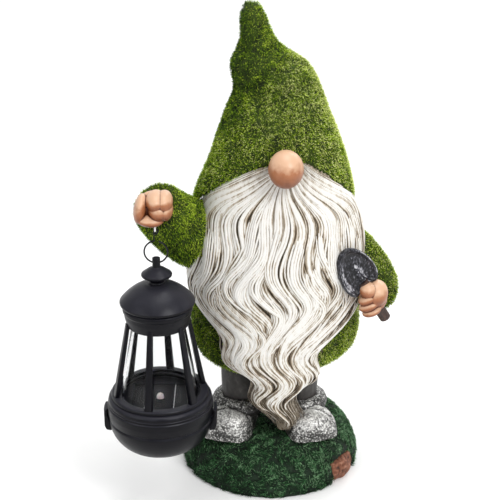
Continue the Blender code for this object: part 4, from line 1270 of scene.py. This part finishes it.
def build_cage(black):
    """Stepped ring under the roof, six tapered posts and the foot ring."""
    low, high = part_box("lantern_cage")
    ring = [(20.6, 0.0), (22.2, 0.5), (22.6, 1.6), (22.5, 3.4), (21.7, 4.1), (21.5, 6.9), (19.9, 13.4),
            (18.5, 13.6), (20.2, 7.6)]
    add_turned("cage_ring", in_mm(ring, high.z, -1), 0.45 * MM, black, ["lantern_cage"])
    foot = [(26.8, 2.2), (31.3, 2.2), (32.0, 1.2), (32.0, 0.0), (26.8, 0.0)]
    add_turned("cage_foot", in_mm(foot, low.z), 0.4 * MM, black)
    axis = lantern_axis()
    rails = bmesh.new()
    for i in range(POSTS):
        bm = bmesh.new()
        bmesh.ops.create_cube(bm, size=1.0)
        for vert in bm.verts:
            share = vert.co.z + 0.5
            width, depth = 5.4 - 1.9 * share, 3.4 - 0.9 * share
            radius = 29.4 - 9.6 * share
            vert.co = Vector((vert.co.x * width, vert.co.y * depth - radius, 0.0)) * MM
            vert.co.z = low.z + 1 * MM + share * (high.z - 11.0 * MM - low.z)
        bmesh.ops.bevel(bm, geom=bm.edges[:], offset=0.55 * MM, segments=3, affect="EDGES")
        turn = Matrix.Rotation(FIRST_POST + 2 * math.pi * i / POSTS, 3, "Z")
        bmesh.ops.rotate(bm, cent=(0, 0, 0), matrix=turn, verts=bm.verts)
        bmesh.ops.translate(bm, verts=bm.verts, vec=(*axis, 0.0))
        rails.from_mesh(mesh_from(bm, "post"))
    mesh = shade(mesh_from(rails, "posts"), EDGE_ANGLE)
    add_piece("cage_posts", mesh, "lantern", [black])


def build_housing(black):
    """Beaded collar, bowl with its seam, and the two grips."""
    low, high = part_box("lantern_collar")
    radius = (high.x - low.x) / 2
    collar = in_mm([(25.2, 0.0), (30.4, 0.0)], high.z, -1)
    collar += arc(radius - 3.0 * MM, high.z - 3.3 * MM, 2.3 * MM, 2.8 * MM, 70, 5, 6)
    collar += arc(radius - 1.1 * MM, high.z - 4.6 * MM, 0.75 * MM, 0.75 * MM, 60, -40, 6)
    collar += [(radius - 0.75 * MM, high.z - 5.6 * MM), (radius, high.z - 6.4 * MM),
               (radius + 0.05 * MM, high.z - 10.5 * MM), (radius - 0.5 * MM, low.z + 0.2 * MM),
               (radius - 1.1 * MM, low.z), (radius - 2.6 * MM, low.z),
               (radius - 2.2 * MM, high.z - 5.4 * MM), (30.8 * MM, high.z - 2.6 * MM),
               (25.2 * MM, high.z - 2.0 * MM)]
    add_turned("collar", collar, 0.35 * MM, black, ["lantern_collar"])

    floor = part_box("lantern_bowl")[0].z
    rim = low.z - 0.3 * MM
    flat = 14.0 * MM
    outer = []
    for i in range(21):
        angle = math.pi / 2 * i / 20
        outer.append((flat + (radius - 0.4 * MM - flat) * math.cos(angle) ** 0.9,
                      floor + (rim - floor) * (1 - math.sin(angle) ** 1.1)))
    outer[0] = (radius - 1.0 * MM, rim)
    inner = [(max(0.0, r - 2 * MM), z + 2 * MM) for r, z in reversed(outer[2:])]
    profile = outer + [(2.6 * MM, floor), (2.6 * MM, floor + 2 * MM)] + inner
    profile += [(radius - 2.6 * MM, rim)]
    add_turned("bowl", profile, 0.2 * MM, black, ["lantern_bowl"])
    grip = in_mm([(37.4, 73.4), (37.4, 61.5), (36.2, 58.6), (33.0, 57.6), (32.4, 60.0),
                  (33.4, 67.4), (35.3, 68.4), (35.3, 73.4)], 0.0)
    for side, azimuth in (("right", -90.0), ("left", 90.0)):
        mesh = sector_mesh(grip, azimuth, 9.6)
        add_piece(side + "_grip", mesh, "lantern", [black])


def sector_mesh(profile, azimuth, half_span):
    """Part of a turned shape about the lantern's axis, with softened edges."""
    axis = lantern_axis()
    bm = bmesh.new()
    rings = []
    for turn in np.radians(np.linspace(azimuth - half_span, azimuth + half_span, 9)):
        rings.append([bm.verts.new((axis[0] + r * math.sin(turn), axis[1] - r * math.cos(turn), z))
                      for r, z in profile])
    for first, second in zip(rings, rings[1:]):
        for i in range(len(profile)):
            j = (i + 1) % len(profile)
            bm.faces.new((first[i], first[j], second[j], second[i]))
    bm.faces.new(list(reversed(rings[0])))
    bm.faces.new(rings[-1])
    bmesh.ops.recalc_face_normals(bm, faces=bm.faces)
    bevel = ("BEVEL", {"width": 0.4 * MM, "segments": 3, "limit_method": "ANGLE"})
    return shade(baked_mesh(mesh_from(bm, "sector"), bevel), EDGE_ANGLE)


def build_wires():
    """Silver eye in the hand and the black hook with its ring."""
    low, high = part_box("hand_eye")
    axis = lantern_axis()
    eye = Vector(joint_place("bail_side_swing"))
    wire = 0.65 * MM
    half = (high.y - low.y) / 2 - wire
    points = [(axis[0], axis[1] + half, high.z)]
    points += [(axis[0], axis[1] + half * math.cos(a), eye.z + 1.4 * MM * (1 - math.sin(a)))
               for a in np.linspace(0, math.pi, 17)]
    points.append((axis[0], axis[1] - half, high.z))
    silver = metal_look("bright_wire", (0.80, 0.78, 0.76, 1.0), 0.18)
    add_piece("silver_eye", wire_mesh(points, wire), "statue", [silver], ["hand_eye"])

    ring_radius, hook_radius = 7.4 * MM, 1.6 * MM
    ring_z = joint_place("lantern_fore_swing")[2] + ring_radius
    hook = [(axis[0] + hook_radius * math.cos(a), axis[1], eye.z - hook_radius * math.sin(a))
            for a in np.radians(np.linspace(150, -120, 25))]
    ring = [(axis[0] + ring_radius * math.cos(a), axis[1], ring_z + ring_radius * math.sin(a))
            for a in np.radians(np.linspace(98, 436, 73))]
    mesh = wire_mesh(hook + ring, 0.55 * MM)
    add_piece("hook_and_ring", mesh, "bail",
              [metal_look("black_wire", (0.03, 0.03, 0.034, 1.0), 0.3)], ["bail"])


def build_lamp(black):
    """Window, solar cell with its printed bars, lamp and everything inside the housing."""
    low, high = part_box("lantern_chimney")
    outer = (high.x - low.x) / 2
    profile = [(16.6, 0.0), (outer / MM - 0.5, 52.3), (outer / MM, 53.2), (outer / MM - 1.4, 53.2),
               (15.4, 0.0)]
    add_turned("window", in_mm(profile, high.z, -1), 0.3 * MM, clear_look(), ["lantern_chimney"])

    silver = metal_look("cell_bar", (0.72, 0.72, 0.74, 1.0), 0.3)
    low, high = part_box("solar_panel")
    centre, half = (low + high) / 2, (high.x - low.x) / 2
    bars = bmesh.new()
    for offset in (-0.52, 0.52):
        matrix = Matrix.Translation((centre.x + offset * half, centre.y, high.z + 0.04 * MM))
        matrix = matrix @ Matrix.Diagonal((0.55 * MM, half * 1.9, 0.1 * MM, 1.0))
        bmesh.ops.create_cube(bars, size=1.0, matrix=matrix)
    add_piece("cell_bars", mesh_from(bars, "bars"), "lantern", [silver])
    steel = metal_look("bright_steel", (0.75, 0.75, 0.75, 1.0), 0.25)
    for material, *names in (
            (cell_look(), "solar_panel"),
            (led_look(), "led"),
            (board_look(), "circuit_board"),
            (black, "lamp_deck", "battery_holder", "switch_knob"),
            (moulded_look("battery_sleeve", srgb(60, 140, 100), 0.3), "battery"),
            (moulded_look("red_wire", srgb(170, 30, 30), 0.4), "red_lead"),
            (moulded_look("black_wire_cover", srgb(30, 30, 32), 0.4), "black_lead"),
            (steel, "battery_contact_positive", "battery_contact_negative", "switch_body",
             "bowl_screw_1", "bowl_screw_2", "bowl_screw_3")):
        for name in names:
            finish(name, material)


def build_lantern():
    """Every part of the lantern and the wires that hang it."""
    black = moulded_look("satin_black", (0.0016, 0.0016, 0.0036, 1.0), 0.34)
    build_finial(black)
    build_roof(black)
    build_cage(black)
    build_housing(black)
    build_wires()
    build_lamp(black)


# ================================================================= stage


def build_stage():
    """Pale floor that curves up behind, soft studio lights and the camera."""
    scene = bpy.context.scene
    profile = [(-3.0, 0.0), (0.9, 0.0)]
    profile += [(0.9 + 0.5 * math.sin(a), 0.5 - 0.5 * math.cos(a))
                for a in (math.pi / 2 * i / 16 for i in range(1, 17))]
    profile.append((1.4, 3.0))
    points = [(x, y, z) for y, z in profile for x in (-3.0, 3.0)]
    faces = [(2 * i, 2 * i + 1, 2 * i + 3, 2 * i + 2) for i in range(len(profile) - 1)]
    mesh = bpy.data.meshes.new("floor")
    mesh.from_pydata(points, [], faces)
    floor = bpy.data.objects.new("floor", shade(mesh))
    scene.collection.objects.link(floor)
    paper = Look("pale_paper", roughness=0.9, Base_Color=(0.92, 0.92, 0.92, 1.0),
                 Emission_Color=(1.0, 1.0, 1.0, 1.0), Emission_Strength=0.10)
    mesh.materials.append(paper.material)

    for name, location, size, power in (
            ("key", (0.75, -1.0, 1.3), 0.7, 14.0),
            ("fill", (-1.0, -0.9, 0.8), 1.0, 4.0),
            ("top", (0.1, 0.1, 1.5), 0.9, 9.0),
            ("back", (0.6, 1.1, 0.9), 0.8, 5.0)):
        light = bpy.data.lights.new(name, "AREA")
        light.shape = "DISK"
        light.size = size
        light.energy = power
        lamp = bpy.data.objects.new(name, light)
        lamp.location = location
        aim = Vector((0.0, 0.0, 0.15)) - Vector(location)
        lamp.rotation_euler = aim.to_track_quat("-Z", "Y").to_euler()
        scene.collection.objects.link(lamp)

    world = bpy.data.worlds.new("studio")
    world.use_nodes = True
    sky = world.node_tree.nodes["Background"].inputs
    sky["Color"].default_value = (1.0, 1.0, 1.0, 1.0)
    sky["Strength"].default_value = 0.42
    scene.world = world
    scene.view_settings.view_transform = "Standard"

    camera = bpy.data.objects.new("camera", bpy.data.cameras.new("camera"))
    camera.data.lens = CAMERA_LENS
    camera.location = CAMERA_LOCATION
    camera.rotation_euler = (math.radians(CAMERA_TILT), 0.0, 0.0)
    scene.collection.objects.link(camera)
    scene.camera = camera


# ============================================================== assembly

build_flock()
build_mound()
build_beard()
build_feet()
build_nose()
build_fists()
build_trowel()
build_lantern()
build_stage()
